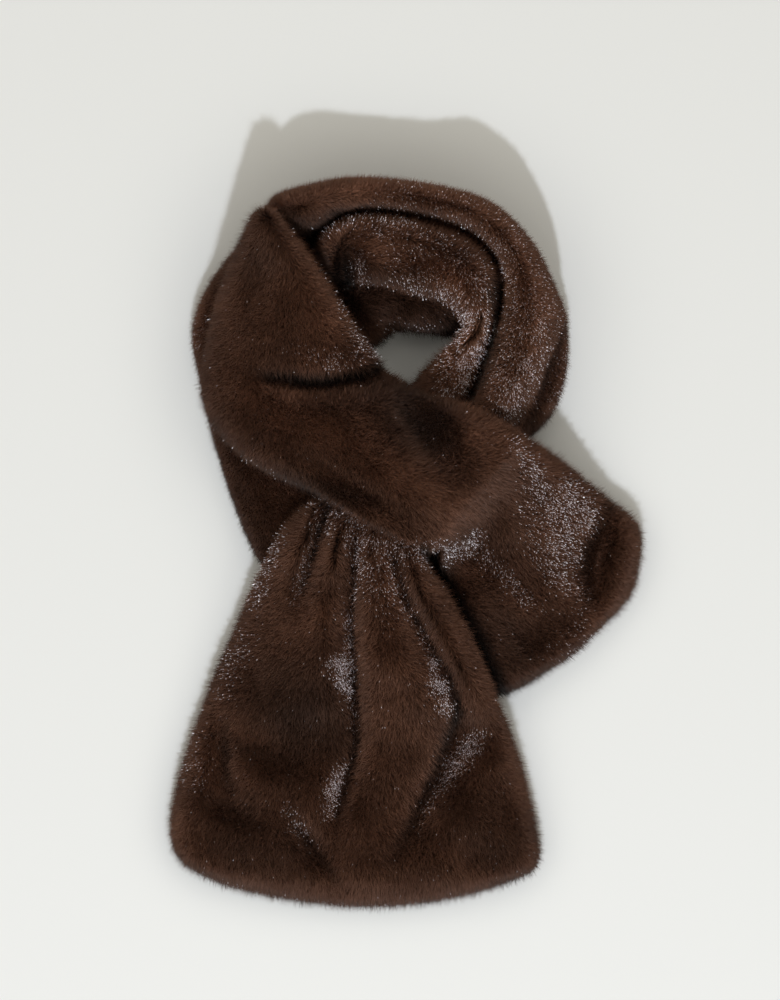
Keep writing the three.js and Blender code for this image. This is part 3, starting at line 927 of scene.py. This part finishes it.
        # painted shade: steep sides are darker, and faces turned towards -y, where the key light hangs,
        # darker still
        sides = np.clip(1.4 * out[:, 2], 0.0, 1.0)
        tone *= sides + (1.0 - sides) * (0.55 + 0.25 * out[:, 1])
        tone *= 1.0 - 0.42 * np.clip(-out[:, 1], 0.0, 1.0)
        soft = skin.eased(out, 10)
        soft /= np.maximum(np.linalg.norm(soft, axis=1, keepdims=True), 1e-12)
        crowded = np.clip(1.0 + self.fan * MM * skin.eased(skin.opening(soft), 2), 0.8, 3.2)
        values = {
            Reach.GLOSS: shine,
            Reach.PILE: np.clip((out[:, 2] + 0.55) / 0.35, 0.0, 1.0) * crowded * (1.0 - 0.8 * dark**3),
            Reach.DEEP: 1.0 - 0.4 * np.clip(strongest(self.creases, skin.points[:, :2] / MM) / 5.0, 0, 1),
            # painted shade: the pile among the glints is up to a quarter darker
            Reach.TONE: tone * (1.0 - 0.25 * shine),
        }
        for kind, value in values.items():
            held = mesh.attributes.new(kind.value, "FLOAT", "POINT")
            held.data.foreach_set("value", value.astype(np.float32))
        for kind, ways in ((Reach.NAP, nap), (Reach.OUT, soft)):
            held = mesh.attributes.new(kind.value, "FLOAT_VECTOR", "POINT")
            held.data.foreach_set("vector", ways.astype(np.float32).ravel())
        made = bpy.data.objects.new(self.name, mesh)
        bpy.context.scene.collection.objects.link(made)
        return made

    def hairs(self) -> tuple[Hair, ...]:
        """The kinds of hair in the pile."""
        pile, seed = self.pile, self.seed * 7
        return (
            Hair("underfur", 7 * pile, 0.46, self.under, 1.0, 0.38, 0.34, 0.28, False, seed + 1),
            Hair("guard_hair", 10.4 * pile, 0.27, self.guard, 0.95, 0.5, 0.4, 0.38, False, seed + 2),
            Hair("glint_hair", 8.4 * pile, 0.32, self.glints, 1.0, 0.42, 0.4, 0.30, True, seed + 3),
        )


# The places on the stretches. Each row of a stroke is x and y in pixels of the view, then strength, then
# reach to the left and to the right in millimetres. A crease's strength is its depth in millimetres, a
# gloss stroke's is how dense the glossy strands with painted highlight tips are, a dark stroke's is how much
# painted shade it lays on the pile's colour and a pale stroke's how much painted light. A nap line runs the
# way that the pile lies.
FRONT_CREASES = strokes(
    NARROW,
    ((327, 506, 4, 5, 4), (319, 535, 5, 5, 4), (311, 565, 4, 5, 4), (303, 590, 2, 5, 4),
     (299, 605, 0.5, 5, 4)),
    ((358, 525, 3.4, 7, 4.5), (356, 560, 5.1, 7, 4.5), (352, 600, 5.1, 7, 4.5), (352, 640, 5.1, 7, 4.5),
     (355, 680, 5.1, 7, 4.5), (358, 720, 4.2, 7, 4.5), (355, 750, 4.2, 7, 4.5), (350, 765, 3.4, 7, 4.5),
     (340, 785, 3.4, 7, 4.5), (335, 820, 3.4, 7, 4.5), (338, 845, 0.42, 7, 4.5)),
    ((391, 549, 3, 5, 4), (399, 584, 4, 5, 4), (416, 615, 4, 5, 4), (434, 650, 4.5, 6, 5),
     (450, 674, 5, 6, 6),
     (457, 700, 5, 7, 7), (458, 722, 4, 7, 8)),
    ((457, 722, 5, 9, 7), (445, 760, 4, 9, 7), (430, 785, 4, 9, 6), (420, 800, 4, 8, 6), (410, 830, 3, 7, 6),
     (400, 845, 2, 6, 6), (388, 862, 0.5, 6, 6)),
    ((205, 795, 1, 5, 5), (222, 805, 3, 5, 5), (245, 815, 2, 5, 5), (262, 820, 0.5, 5, 5)),
    ((226, 715, 1, 5, 5), (223, 745, 3, 5, 6), (228, 785, 2, 5, 6), (236, 800, 0.5, 5, 5)),
    ((285, 808, 1, 6, 5), (300, 830, 4, 7, 5), (312, 845, 4, 7, 5), (325, 865, 3, 6, 5),
     (340, 882, 1, 5, 5)),
    ((245, 640, 1, 8, 8), (255, 670, 2.5, 8, 8), (265, 700, 1, 8, 8)),
    ((480, 760, 1, 9, 9), (500, 800, 2, 9, 9), (512, 845, 1, 9, 9)),
)
FRONT_GLOSS_AND_PAINTED_GLINTS = strokes(
    BROAD,
    ((362, 522, 0.5, 3, 5), (358, 560, 0.8, 4, 5), (354, 600, 1, 4, 4), (350, 632, 1.1, 5, 4),
     (346, 660, 1.2, 7, 5), (349, 690, 1.1, 6, 5), (355, 720, 0.8, 3, 4), (355, 752, 0.6, 4, 4),
     (350, 772, 0.5, 4, 4)),
    ((340, 768, 0.8, 6, 6), (332, 790, 1.25, 8, 8), (327, 812, 0.8, 6, 6)),
    ((331, 664, 1, 7, 7), (339, 678, 1.3, 8, 8), (346, 694, 1.2, 7, 7)),
    ((393, 550, 0.5, 4, 5), (401, 580, 0.7, 4, 5), (414, 610, 0.8, 4, 6), (428, 640, 0.7, 5, 6),
     (438, 665, 0.8, 7, 7)),
    ((434, 664, 1, 7, 7), (440, 682, 1.3, 10, 10), (446, 698, 1.2, 9, 9), (455, 714, 0.6, 5, 5)),
    ((482, 735, 0.6, 6, 6), (474, 750, 1.1, 8, 8), (460, 766, 1.2, 9, 9), (444, 784, 1.1, 8, 7),
     (428, 806, 0.8, 7, 6), (416, 830, 0.4, 5, 5)),
    ((288, 812, 0.6, 5, 5), (299, 828, 1.1, 6, 6), (310, 846, 0.8, 5, 5)),
    ((322, 510, 0.7, 4, 5), (312, 550, 0.7, 4, 6), (303, 585, 0.75, 4, 6), (297, 606, 0.5, 4, 5)),
    ((285, 545, 0.5, 5, 5), (270, 580, 0.45, 6, 6), (262, 610, 0.3, 5, 5)),
    ((436, 560, 0.7, 5, 5), (455, 592, 0.75, 5, 5), (474, 630, 0.75, 5, 5), (489, 668, 0.7, 5, 5),
     (500, 700, 0.5, 5, 5)),
    ((254, 640, 0.25, 7, 7), (236, 672, 0.45, 7, 7), (228, 700, 0.25, 6, 6)),
    ((205, 745, 0.2, 7, 7), (196, 790, 0.22, 7, 7)),
    ((330, 505, 0.45, 14, 14), (360, 540, 0.5, 16, 16), (385, 575, 0.4, 16, 16), (395, 610, 0.25, 14, 14)),
    ((395, 540, 0.7, 7, 7), (412, 552, 0.7, 7, 7), (430, 572, 0.6, 6, 6)),
)
FRONT_PAINTED_SHADE = strokes(
    BROAD,
    ((245, 660, 0.15, 30, 30), (285, 700, 0.5, 34, 30), (310, 730, 0.5, 30, 26), (300, 760, 0.2, 28, 26)),
    ((222, 748, 0.2, 7, 6), (258, 757, 0.4, 7, 6), (300, 762, 0.42, 7, 6), (334, 758, 0.2, 7, 6)),
    ((215, 800, 0.1, 20, 20), (245, 840, 0.35, 24, 24), (290, 860, 0.2, 22, 22)),
    ((328, 505, 0.95, 4, 4), (319, 535, 1, 4, 4), (311, 565, 0.95, 3.5, 3.5), (303, 592, 0.5, 3, 3)),
    ((357, 526, 0.5, 2.5, 2.5), (354, 580, 0.85, 2.5, 2.5), (354, 640, 0.9, 2.5, 2.5),
     (357, 700, 0.95, 3, 3),
     (357, 750, 0.9, 4, 4), (347, 785, 0.7, 5, 5), (340, 820, 0.4, 5, 5)),
    ((391, 549, 0.7, 3, 3), (399, 584, 1, 3.5, 3.5), (416, 615, 1, 3.5, 3.5), (434, 648, 0.9, 3, 3),
     (452, 674, 0.85, 3, 3), (460, 712, 0.9, 5, 5), (446, 740, 0.75, 7, 7), (428, 790, 0.7, 8, 6),
     (410, 825, 0.55, 8, 6), (388, 866, 0.2, 7, 6)),
    ((470, 800, 0.15, 20, 20), (500, 845, 0.3, 24, 24)),
    ((228, 720, 0.2, 4, 4), (226, 750, 0.6, 5, 5), (228, 785, 0.5, 5, 5), (238, 800, 0.2, 4, 4)),
    ((205, 800, 0.2, 5, 5), (232, 812, 0.5, 5, 5), (262, 820, 0.2, 5, 5)),
    ((288, 810, 0.2, 5, 5), (308, 846, 0.6, 5, 5), (330, 872, 0.5, 5, 5), (344, 888, 0.1, 4, 4)),
)
FRONT_PAINTED_LIGHT = strokes(
    NARROW,
    ((380, 560, 0.1, 10, 10), (385, 640, 0.25, 16, 16), (400, 720, 0.25, 22, 22), (395, 790, 0.1, 20, 20)),
    ((310, 620, 0.2, 14, 14), (290, 655, 0.1, 14, 14)),
)
FRONT_NAP = (
    ((345, 505), (300, 560), (262, 640), (225, 720), (195, 800), (185, 880)),
    ((375, 525), (362, 620), (355, 720), (352, 820), (352, 905)),
    ((405, 545), (440, 620), (480, 710), (512, 800), (530, 880)),
)

STRIP_CREASES = strokes(
    NARROW,
    ((258, 374, 3, 4, 4), (272, 380, 6, 4, 4), (300, 385, 8, 4, 5), (335, 385, 8, 4, 5), (362, 380, 6, 4, 4),
     (382, 374, 2, 4, 4)),
    ((280, 440, 0.5, 5, 5), (300, 455, 2, 5, 6), (335, 475, 4, 5, 6), (370, 495, 4, 5, 6),
     (395, 515, 4, 5, 6),
     (415, 540, 2, 5, 6)),
    ((222, 424, 0.5, 4, 4), (244, 447, 2, 4, 5), (270, 466, 3, 4, 5), (300, 480, 2, 4, 5),
     (322, 488, 0.5, 4, 5)),
    ((395, 388, 1, 14, 12), (412, 412, 6, 16, 14), (430, 440, 6, 17, 14), (450, 470, 1, 14, 12)),
    ((352, 408, 0.5, 10, 9), (380, 430, 2.5, 11, 10), (400, 452, 1, 11, 10)),
    ((603, 513, 2, 6, 9), (600, 530, 4, 6, 10), (590, 545, 5, 6, 11), (587, 570, 5, 6, 11),
     (590, 590, 3, 6, 10),
     (600, 612, 1, 6, 8)),
    ((420, 535, 2, 7, 7), (445, 548, 4, 7, 9), (470, 556, 4, 7, 9), (490, 568, 2, 7, 9)),
    ((455, 520, 2, 8, 8), (470, 545, 3, 8, 8), (485, 575, 2, 8, 8)),
    ((500, 620, 1, 8, 8), (520, 640, 4, 8, 9), (540, 662, 1, 8, 9)),
    ((540, 612, 1, 8, 8), (562, 622, 3, 8, 8), (585, 632, 1, 8, 8)),
    ((512, 470, 0.5, 9, 9), (535, 500, 3, 10, 9), (560, 535, 3, 10, 9), (575, 570, 1, 9, 9)),
    ((262, 225, 0.5, 6, 6), (262, 255, 1.5, 7, 7), (252, 290, 2, 8, 8), (246, 330, 0.5, 8, 8)),
)
STRIP_GLOSS_AND_PAINTED_GLINTS = strokes(
    BROAD,
    ((512, 452, 0.4, 6, 6), (532, 476, 0.65, 7, 9), (550, 503, 0.8, 8, 12), (564, 530, 0.85, 8, 14),
     (576, 560, 0.6, 8, 9)),
    ((560, 495, 0.8, 10, 10), (585, 515, 0.9, 9, 9), (598, 535, 0.5, 6, 6)),
    ((520, 500, 0.3, 8, 8), (545, 550, 0.6, 12, 10), (562, 582, 0.6, 8, 8), (590, 600, 0.5, 6, 6)),
    ((425, 545, 0.6, 6, 6), (445, 548, 1, 9, 9), (462, 545, 1, 10, 9), (478, 532, 0.9, 7, 7)),
    ((478, 540, 0.5, 6, 6), (498, 565, 0.6, 7, 7), (520, 592, 0.6, 7, 7), (540, 610, 0.3, 6, 6)),
    ((548, 655, 0.3, 6, 6), (575, 635, 0.35, 6, 6), (590, 600, 0.35, 6, 6)),
    ((300, 350, 0.25, 6, 6), (330, 362, 0.5, 6, 6), (356, 358, 0.5, 6, 6)),
    ((280, 222, 0.35, 5, 5), (318, 270, 0.5, 5, 5), (340, 312, 0.65, 6, 6), (360, 345, 0.8, 8, 8),
     (372, 362, 0.8, 7, 7)),
    ((210, 440, 0.12, 8, 8), (250, 462, 0.15, 8, 8), (330, 500, 0.2, 8, 8)),
)
STRIP_PAINTED_SHADE = strokes(
    BROAD,
    ((378, 392, 0.35, 18, 16), (406, 412, 0.7, 22, 20), (434, 438, 0.7, 22, 20), (456, 462, 0.15, 16, 16)),
    ((256, 375, 0.4, 5, 5), (272, 381, 0.95, 7, 6), (300, 384, 1, 8, 7), (335, 384, 1, 8, 7),
     (360, 381, 1, 7, 6), (380, 375, 0.7, 5, 5)),
    ((255, 235, 0.1, 14, 14), (258, 262, 0.3, 16, 16), (250, 290, 0.1, 14, 14)),
    ((425, 550, 1, 6, 6), (445, 578, 1, 8, 13), (465, 614, 1, 9, 19), (485, 654, 1, 9, 19),
     (502, 692, 0.95, 9, 14)),
    ((480, 610, 0.3, 18, 18), (520, 655, 0.45, 22, 22), (560, 640, 0.2, 18, 18)),
    ((608, 516, 0.3, 7, 7), (601, 530, 0.5, 7, 7), (591, 550, 0.6, 7, 7), (588, 575, 0.6, 7, 7),
     (592, 600, 0.4, 7, 7)),
    ((270, 462, 0.1, 5, 5), (300, 478, 0.4, 6, 6), (340, 492, 0.5, 6, 6), (380, 505, 0.3, 6, 6)),
    ((215, 330, 0.25, 12, 8), (208, 380, 0.3, 12, 8), (225, 430, 0.25, 10, 8)),
)
STRIP_PAINTED_LIGHT = strokes(
    NARROW,
    ((300, 270, 0.15, 16, 16), (322, 325, 0.5, 20, 18), (310, 355, 0.3, 18, 14)),
    ((235, 385, 0.1, 16, 14), (290, 415, 0.45, 18, 16), (350, 440, 0.4, 16, 16), (410, 485, 0.3, 14, 16),
     (460, 510, 0.3, 18, 16)),
    ((500, 450, 0.2, 16, 16), (470, 430, 0.3, 12, 12)),
    ((268, 215, 0.25, 5, 5), (300, 245, 0.3, 4, 5), (330, 300, 0.25, 4, 5)),
)
STRIP_NAP = (
    ((268, 205), (262, 260), (248, 320), (232, 380), (250, 425), (300, 455), (360, 485), (410, 515),
     (460, 545),
     (520, 580), (580, 620)),
    ((300, 245), (330, 310), (360, 350), (330, 395), (380, 420), (440, 440), (500, 455), (560, 490),
     (620, 530)),
)

BAND_CREASES = strokes(
    NARROW,
    ((205, 430, 0.5, 6, 6), (222, 455, 2, 7, 7), (240, 490, 2, 7, 7), (258, 525, 1, 7, 7)),
    ((203, 300, 0.5, 6, 6), (205, 340, 1.5, 6, 6), (200, 372, 0.5, 6, 6)),
    ((568, 318, 1, 6, 6), (556, 345, 4, 7, 7), (545, 370, 4, 7, 7), (536, 395, 3, 7, 7),
     (526, 420, 1, 6, 6)),
)
BAND_GLOSS_AND_PAINTED_GLINTS = strokes(
    BROAD,
    ((385, 198, 0.2, 8, 8), (440, 206, 0.3, 9, 9), (475, 222, 0.35, 11, 11), (505, 250, 0.4, 12, 12),
     (522, 280, 0.45, 13, 13), (530, 310, 0.5, 13, 13), (526, 345, 0.6, 13, 13), (514, 380, 0.65, 13, 13),
     (503, 408, 0.55, 10, 10)),
    ((545, 330, 0.3, 8, 8), (548, 372, 0.35, 8, 8), (538, 402, 0.3, 7, 7)),
    ((562, 300, 0.3, 6, 6), (565, 340, 0.35, 6, 6), (558, 385, 0.35, 6, 6), (548, 420, 0.35, 6, 6)),
    ((200, 320, 0.25, 6, 6), (198, 352, 0.25, 6, 6)),
)
BAND_PAINTED_SHADE = strokes(
    BROAD,
    ((318, 236, 0.9, 8, 8), (340, 216, 1, 8, 8), (385, 215, 1, 8, 8), (430, 226, 1, 8, 8),
     (468, 245, 1, 8, 8),
     (490, 270, 1, 8, 8), (497, 300, 1, 8, 8), (490, 350, 0.9, 8, 8), (480, 385, 0.7, 7, 7)),
    ((262, 225, 0.3, 6, 6), (285, 236, 0.8, 9, 9), (310, 246, 0.9, 10, 10)),
    ((230, 470, 0.2, 16, 16), (250, 540, 0.4, 18, 18)),
    ((568, 318, 0.3, 3, 3), (556, 345, 0.6, 4, 4), (545, 372, 0.6, 4, 4), (536, 398, 0.6, 4, 4),
     (526, 425, 0.4, 4, 4)),
)
BAND_PAINTED_LIGHT = strokes(
    NARROW,
    ((275, 208, 0.2, 12, 12), (310, 198, 0.35, 14, 14), (360, 196, 0.5, 15, 15), (420, 202, 0.55, 16, 16),
     (475, 222, 0.55, 18, 18), (512, 262, 0.5, 20, 20), (535, 310, 0.5, 20, 20), (525, 365, 0.4, 20, 20),
     (505, 405, 0.3, 16, 16)),
    ((200, 310, 0.3, 10, 10), (197, 350, 0.3, 10, 10)),
)
BAND_NAP = (
    ((300, 205), (255, 215), (225, 262), (205, 310), (205, 370), (225, 430), (262, 500), (310, 560),
     (380, 640)),
    ((300, 205), (380, 190), (460, 200), (520, 240), (555, 300), (560, 360), (540, 420)),
    ((268, 215), (300, 200), (340, 193), (400, 195), (460, 208), (505, 235), (530, 275), (535, 320),
     (525, 370),
     (508, 415), (480, 450)),
)

INNER_CREASES = strokes(
    NARROW,
    ((352, 243, 3, 5, 5), (348, 270, 5, 6, 5), (354, 284, 4, 5, 5)),
    ((470, 320, 3, 6, 6), (455, 332, 4, 6, 6), (440, 345, 2, 5, 5)),
    ((420, 292, 2, 5, 5), (430, 297, 3, 5, 5), (440, 294, 3, 5, 5), (452, 305, 2, 5, 5)),
    ((370, 250, 0.5, 7, 7), (400, 256, 2, 7, 7), (430, 266, 1, 7, 7)),
)
INNER_GLOSS_AND_PAINTED_GLINTS = strokes(
    BROAD,
    ((335, 234, 0.55, 5, 5), (352, 227, 0.65, 5, 5), (378, 229, 0.6, 6, 6), (410, 239, 0.5, 7, 7),
     (445, 253, 0.5, 7, 7), (470, 272, 0.6, 8, 8), (482, 297, 0.6, 7, 7)),
    ((364, 256, 0.8, 6, 6), (362, 274, 0.9, 6, 7), (374, 285, 0.8, 6, 6), (398, 291, 0.7, 5, 5)),
    ((400, 264, 0.35, 11, 11), (425, 277, 0.5, 11, 11), (450, 290, 0.6, 9, 9), (468, 312, 0.6, 8, 8)),
    ((470, 315, 1, 9, 9), (468, 345, 1.1, 11, 11), (457, 372, 1, 10, 10), (446, 392, 0.6, 8, 8)),
    ((455, 330, 0.6, 5, 5), (445, 350, 0.6, 6, 6), (432, 368, 0.4, 5, 5)),
)
INNER_PAINTED_SHADE = strokes(
    BROAD,
    ((350, 244, 0.5, 5, 5), (346, 262, 0.95, 7, 6), (350, 285, 1, 7, 6), (366, 294, 0.9, 5, 5),
     (395, 302, 0.8, 5, 5)),
    ((325, 262, 0.5, 10, 10), (332, 282, 0.7, 10, 10)),
    ((492, 290, 0.8, 6, 6), (488, 345, 0.9, 6, 6), (476, 385, 0.9, 6, 6)),
    ((430, 296, 0.4, 4, 4), (446, 300, 0.5, 4, 4), (456, 318, 0.7, 4, 4), (440, 340, 0.4, 4, 4)),
)
INNER_PAINTED_LIGHT = strokes(
    NARROW,
    ((345, 235, 0.3, 10, 10), (390, 245, 0.4, 14, 14), (430, 258, 0.5, 14, 14), (465, 285, 0.7, 13, 13),
     (470, 330, 1, 13, 13), (455, 375, 0.8, 12, 12)),
)
INNER_NAP = (
    ((320, 285), (322, 258), (345, 238), (390, 240), (440, 255), (475, 285), (482, 320), (470, 360),
     (450, 400),
     (420, 430)),
)

FOLD_CREASES = strokes(
    NARROW,
    ((386, 300, 0.5, 4, 4), (388, 322, 3, 4, 4), (390, 334, 2, 4, 4)),
    ((425, 300, 0.5, 5, 5), (428, 318, 2, 5, 5), (430, 330, 1, 5, 5)),
)
FOLD_GLOSS_AND_PAINTED_GLINTS = strokes(
    BROAD,
    ((380, 322, 0.3, 4, 4), (410, 318, 0.5, 5, 5), (440, 318, 0.5, 5, 5), (458, 322, 0.4, 5, 5)),
)
FOLD_PAINTED_SHADE = strokes(
    BROAD,
    ((330, 300, 0.7, 14, 14), (380, 305, 0.4, 14, 14), (430, 318, 0.4, 14, 14), (455, 325, 0.7, 10, 10)),
    ((385, 330, 0.8, 4, 4), (410, 332, 0.5, 4, 4), (445, 335, 0.7, 4, 4)),
)
FOLD_PAINTED_LIGHT = strokes(
    NARROW,
    ((400, 312, 0.2, 5, 5), (430, 316, 0.2, 5, 5)),
)
FOLD_NAP = (
    ((320, 300), (350, 300), (400, 305), (450, 320), (470, 330)),
)


class Scarf:
    """The whole scarf: its skins, and the pile on them."""

    CLOSE: float = 15.0
    PELTS: tuple[Pelt, ...] = (
        Pelt(
            name="collar_band_pelt",
            nodes=("under_strip", "collar_outer_roll"),
            cut=(90.0, 640.0),
            area=30000.0,
            held=Held.LAID,
            rests_on=(),
            nap=BAND_NAP,
            creases=BAND_CREASES,
            gloss=BAND_GLOSS_AND_PAINTED_GLINTS,
            dark=BAND_PAINTED_SHADE,
            pale=BAND_PAINTED_LIGHT,
            sink=3.0,
            pile=0.64,
            seed=3,
        ),
        Pelt(
            name="collar_inner_fold_pelt",
            nodes=("collar_inner_fold",),
            cut=(62.0, 76.0),
            area=3400.0,
            held=Held.FOLDED,
            rests_on=(),
            nap=FOLD_NAP,
            creases=FOLD_CREASES,
            gloss=FOLD_GLOSS_AND_PAINTED_GLINTS,
            dark=FOLD_PAINTED_SHADE,
            pale=FOLD_PAINTED_LIGHT,
            seed=5,
        ),
        Pelt(
            name="collar_inner_roll_pelt",
            nodes=("collar_inner_roll",),
            cut=(34.0, 240.0),
            area=7800.0,
            held=Held.FOLDED,
            rests_on=("under_strip", "collar_inner_fold"),
            nap=INNER_NAP,
            creases=INNER_CREASES,
            gloss=INNER_GLOSS_AND_PAINTED_GLINTS,
            dark=INNER_PAINTED_SHADE,
            pale=INNER_PAINTED_LIGHT,
            seed=7,
        ),
        Pelt(
            name="front_tail_pelt",
            nodes=("front_tail",),
            cut=(200.0, 250.0),
            area=46000.0,
            held=Held.GATHERED,
            rests_on=("under_strip", "side_tail"),
            nap=FRONT_NAP,
            creases=FRONT_CREASES,
            gloss=FRONT_GLOSS_AND_PAINTED_GLINTS,
            dark=FRONT_PAINTED_SHADE,
            pale=FRONT_PAINTED_LIGHT,
            under=4.05,
            glints=4.0,
            seed=11,
        ),
        Pelt(
            name="slit_strip_pelt",
            nodes=("front_strip", "side_tail"),
            cut=(120.0, 360.0),
            area=37500.0,
            held=Held.LAID,
            rests_on=("front_tail", "under_strip", "collar_outer_roll"),
            nap=STRIP_NAP,
            creases=STRIP_CREASES,
            gloss=STRIP_GLOSS_AND_PAINTED_GLINTS,
            dark=STRIP_PAINTED_SHADE,
            pale=STRIP_PAINTED_LIGHT,
            seed=13,
        ),
    )

    def __init__(self, finish: FurColoursAndPaintedGlint) -> None:
        """Sets the finish.

        Args:
            finish: the fur's colours and gloss, with the painted highlight colour of its glint tips.
        """
        self.finish = finish
        self.skins: dict[str, bpy.types.Object] = {}

    def _settle_pile(self) -> None:
        """Takes the pile away where a stretch is covered, and shortens it where two stretches meet."""
        trees = {
            name: BVHTree.FromObject(skin, bpy.context.evaluated_depsgraph_get())
            for name, skin in self.skins.items()
        }
        for name, skin in self.skins.items():
            surface = Surface.of(skin.data)
            out = surface.normals()
            hidden, close = np.zeros(len(out)), np.zeros(len(out))
            for k, (point, way) in enumerate(zip(surface.points, out)):
                start, ray = Vector(point), Vector(way)
                for other, tree in trees.items():
                    if other == name:
                        continue
                    met = tree.find_nearest(start, self.CLOSE * MM)
                    if met[0] is None:
                        continue
                    towards = (met[0] - start).normalized().dot(ray)
                    near = 1.0 - met[3] / (self.CLOSE * MM)
                    close[k] = max(close[k], near * min(max(towards + 0.35, 0.0), 1.0))
                    hit = tree.ray_cast(start, ray, 0.012)
                    above = tree.ray_cast(start, Vector((0, 0, 1)), 0.05)
                    if hit[3] is not None and (above[3] is not None or way[2] < 0):
                        hidden[k] = 1.0
            open_air = np.clip((1.0 - surface.eased(hidden, 5) - 0.12) / 0.5, 0.0, 1.0)
            shorter = 1.0 - 0.6 * np.clip(surface.eased(close, 3) * 1.6, 0.0, 1.0)
            for kind, factor in ((Reach.PILE, open_air), (Reach.DEEP, shorter)):
                held = skin.data.attributes[kind.value].data
                values = np.zeros(len(out))
                held.foreach_get("value", values)
                held.foreach_set("value", values * factor)
            log.info("%s: %d of %d points are open", name, int((open_air > 0.5).sum()), len(out))

    def build(self) -> None:
        """Makes the skins, sets the pile on them, hangs each piece under one body and logs its faces."""
        ground = self.finish.skin_cloth()
        coat = {glossy: self.finish.strands(glossy) for glossy in (False, True)}
        for pelt in self.PELTS:
            self.skins[pelt.name] = pelt.build(ground)
            log.info("%s: %d faces", pelt.name, len(self.skins[pelt.name].data.polygons))
        self._settle_pile()
        tree = PileTree()
        for pelt in self.PELTS:
            skin = self.skins[pelt.name]
            coats = [tree.grow(skin, hair, coat[hair.glossy]) for hair in pelt.hairs()]
            for kind in (k for k in Reach if k is not Reach.TONE):
                skin.data.attributes.remove(skin.data.attributes[kind.value])
            for piece in (skin, *coats):
                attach(piece, "root")
                log.info("%s: %d faces", piece.name, len(piece.data.polygons))
            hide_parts(*pelt.nodes)
            face = sum(p.area for p in skin.data.polygons) / 2
            log.info("%s: each face is %.4f m2 of a cut of %.4f m2", pelt.name, face, pelt.area * MM**2)


@dataclass(frozen=True)
class Studio:
    """The pale floor, the soft light and the camera straight above, in millimetres."""

    camera_up: float = 4000.0
    key_from: tuple[float, float, float] = (-20.0, -1850.0, 2350.0)
    key_size: float = 90.0
    key_watts: float = 48.0
    key_tint: tuple[float, float, float] = (0.87, 0.93, 1.0)
    room: float = 1.2
    room_tint: tuple[float, float, float] = (1.0, 0.965, 0.86)
    room_bands: tuple[tuple[float, float], ...] = ((0.42, 0.12), (0.60, 1.0), (0.80, 1.0), (0.92, 0.12))
    floor_tone: tuple[float, float, float] = (0.80, 0.80, 0.80)

    def floor(self) -> None:
        """Lays the pale matt floor."""
        half = 6.0
        corners = [(-half, -half), (half, -half), (half, half), (-half, half)]
        mesh = bpy.data.meshes.new("floor")
        mesh.from_pydata([(x, y, -0.0003) for x, y in corners], [], [(0, 1, 2, 3)])
        floor = bpy.data.objects.new("floor", mesh)
        bpy.context.scene.collection.objects.link(floor)
        pale = bpy.data.materials.new("pale floor")
        pale.use_nodes = True
        shader = pale.node_tree.nodes["Principled BSDF"]
        shader.inputs["Base Color"].default_value = (*self.floor_tone, 1)
        shader.inputs["Roughness"].default_value = 0.9
        mesh.materials.append(pale)

    def light(self) -> None:
        """Hangs the small cool key light over the tails, in a room that is brightest half-way up."""
        lamp = bpy.data.lights.new("key", "AREA")
        lamp.shape = "SQUARE"
        lamp.size = self.key_size * MM
        lamp.energy = self.key_watts
        lamp.color = self.key_tint
        held = bpy.data.objects.new("key", lamp)
        held.location = Vector(self.key_from) * MM
        aim = Vector((*VIEW_CENTRE, 0)) * MM - held.location
        held.rotation_euler = aim.to_track_quat("-Z", "Y").to_euler()
        held.visible_camera = False
        bpy.context.scene.collection.objects.link(held)
        world = bpy.data.worlds.new("room")
        world.use_nodes = True
        nodes, link = world.node_tree.nodes, world.node_tree.links.new
        back = nodes["Background"]
        back.inputs["Strength"].default_value = self.room
        way, parts, bands = (
            nodes.new("ShaderNodeTexCoord"),
            nodes.new("ShaderNodeSeparateXYZ"),
            nodes.new("ShaderNodeValToRGB"),
        )
        stops = bands.color_ramp.elements
        while len(stops) < len(self.room_bands):
            stops.new(0.5)
        for stop, (height, share) in zip(stops, self.room_bands):
            stop.position = height
            stop.color = (*(share * part for part in self.room_tint), 1)
        link(way.outputs["Generated"], parts.inputs["Vector"])
        link(parts.outputs["Z"], bands.inputs["Fac"])
        link(bands.outputs["Color"], back.inputs["Color"])
        bpy.context.scene.world = world
        bpy.context.scene.view_settings.view_transform = "Standard"

    def camera(self) -> None:
        """Puts the camera straight above."""
        data = bpy.data.cameras.new("camera")
        data.lens = data.sensor_width * self.camera_up / VIEW_HEIGHT
        data.clip_end = 50.0
        camera = bpy.data.objects.new("camera", data)
        camera.location = Vector((*VIEW_CENTRE, self.camera_up + 25.0)) * MM
        bpy.context.scene.collection.objects.link(camera)
        bpy.context.scene.camera = camera


def main() -> None:
    """Builds the scarf and its studio."""
    logging.basicConfig(level=logging.INFO, format="%(name)s: %(message)s")
    Scarf(FurColoursAndPaintedGlint()).build()
    studio = Studio()
    studio.floor()
    studio.light()
    studio.camera()


if __name__ == "__main__":
    main()
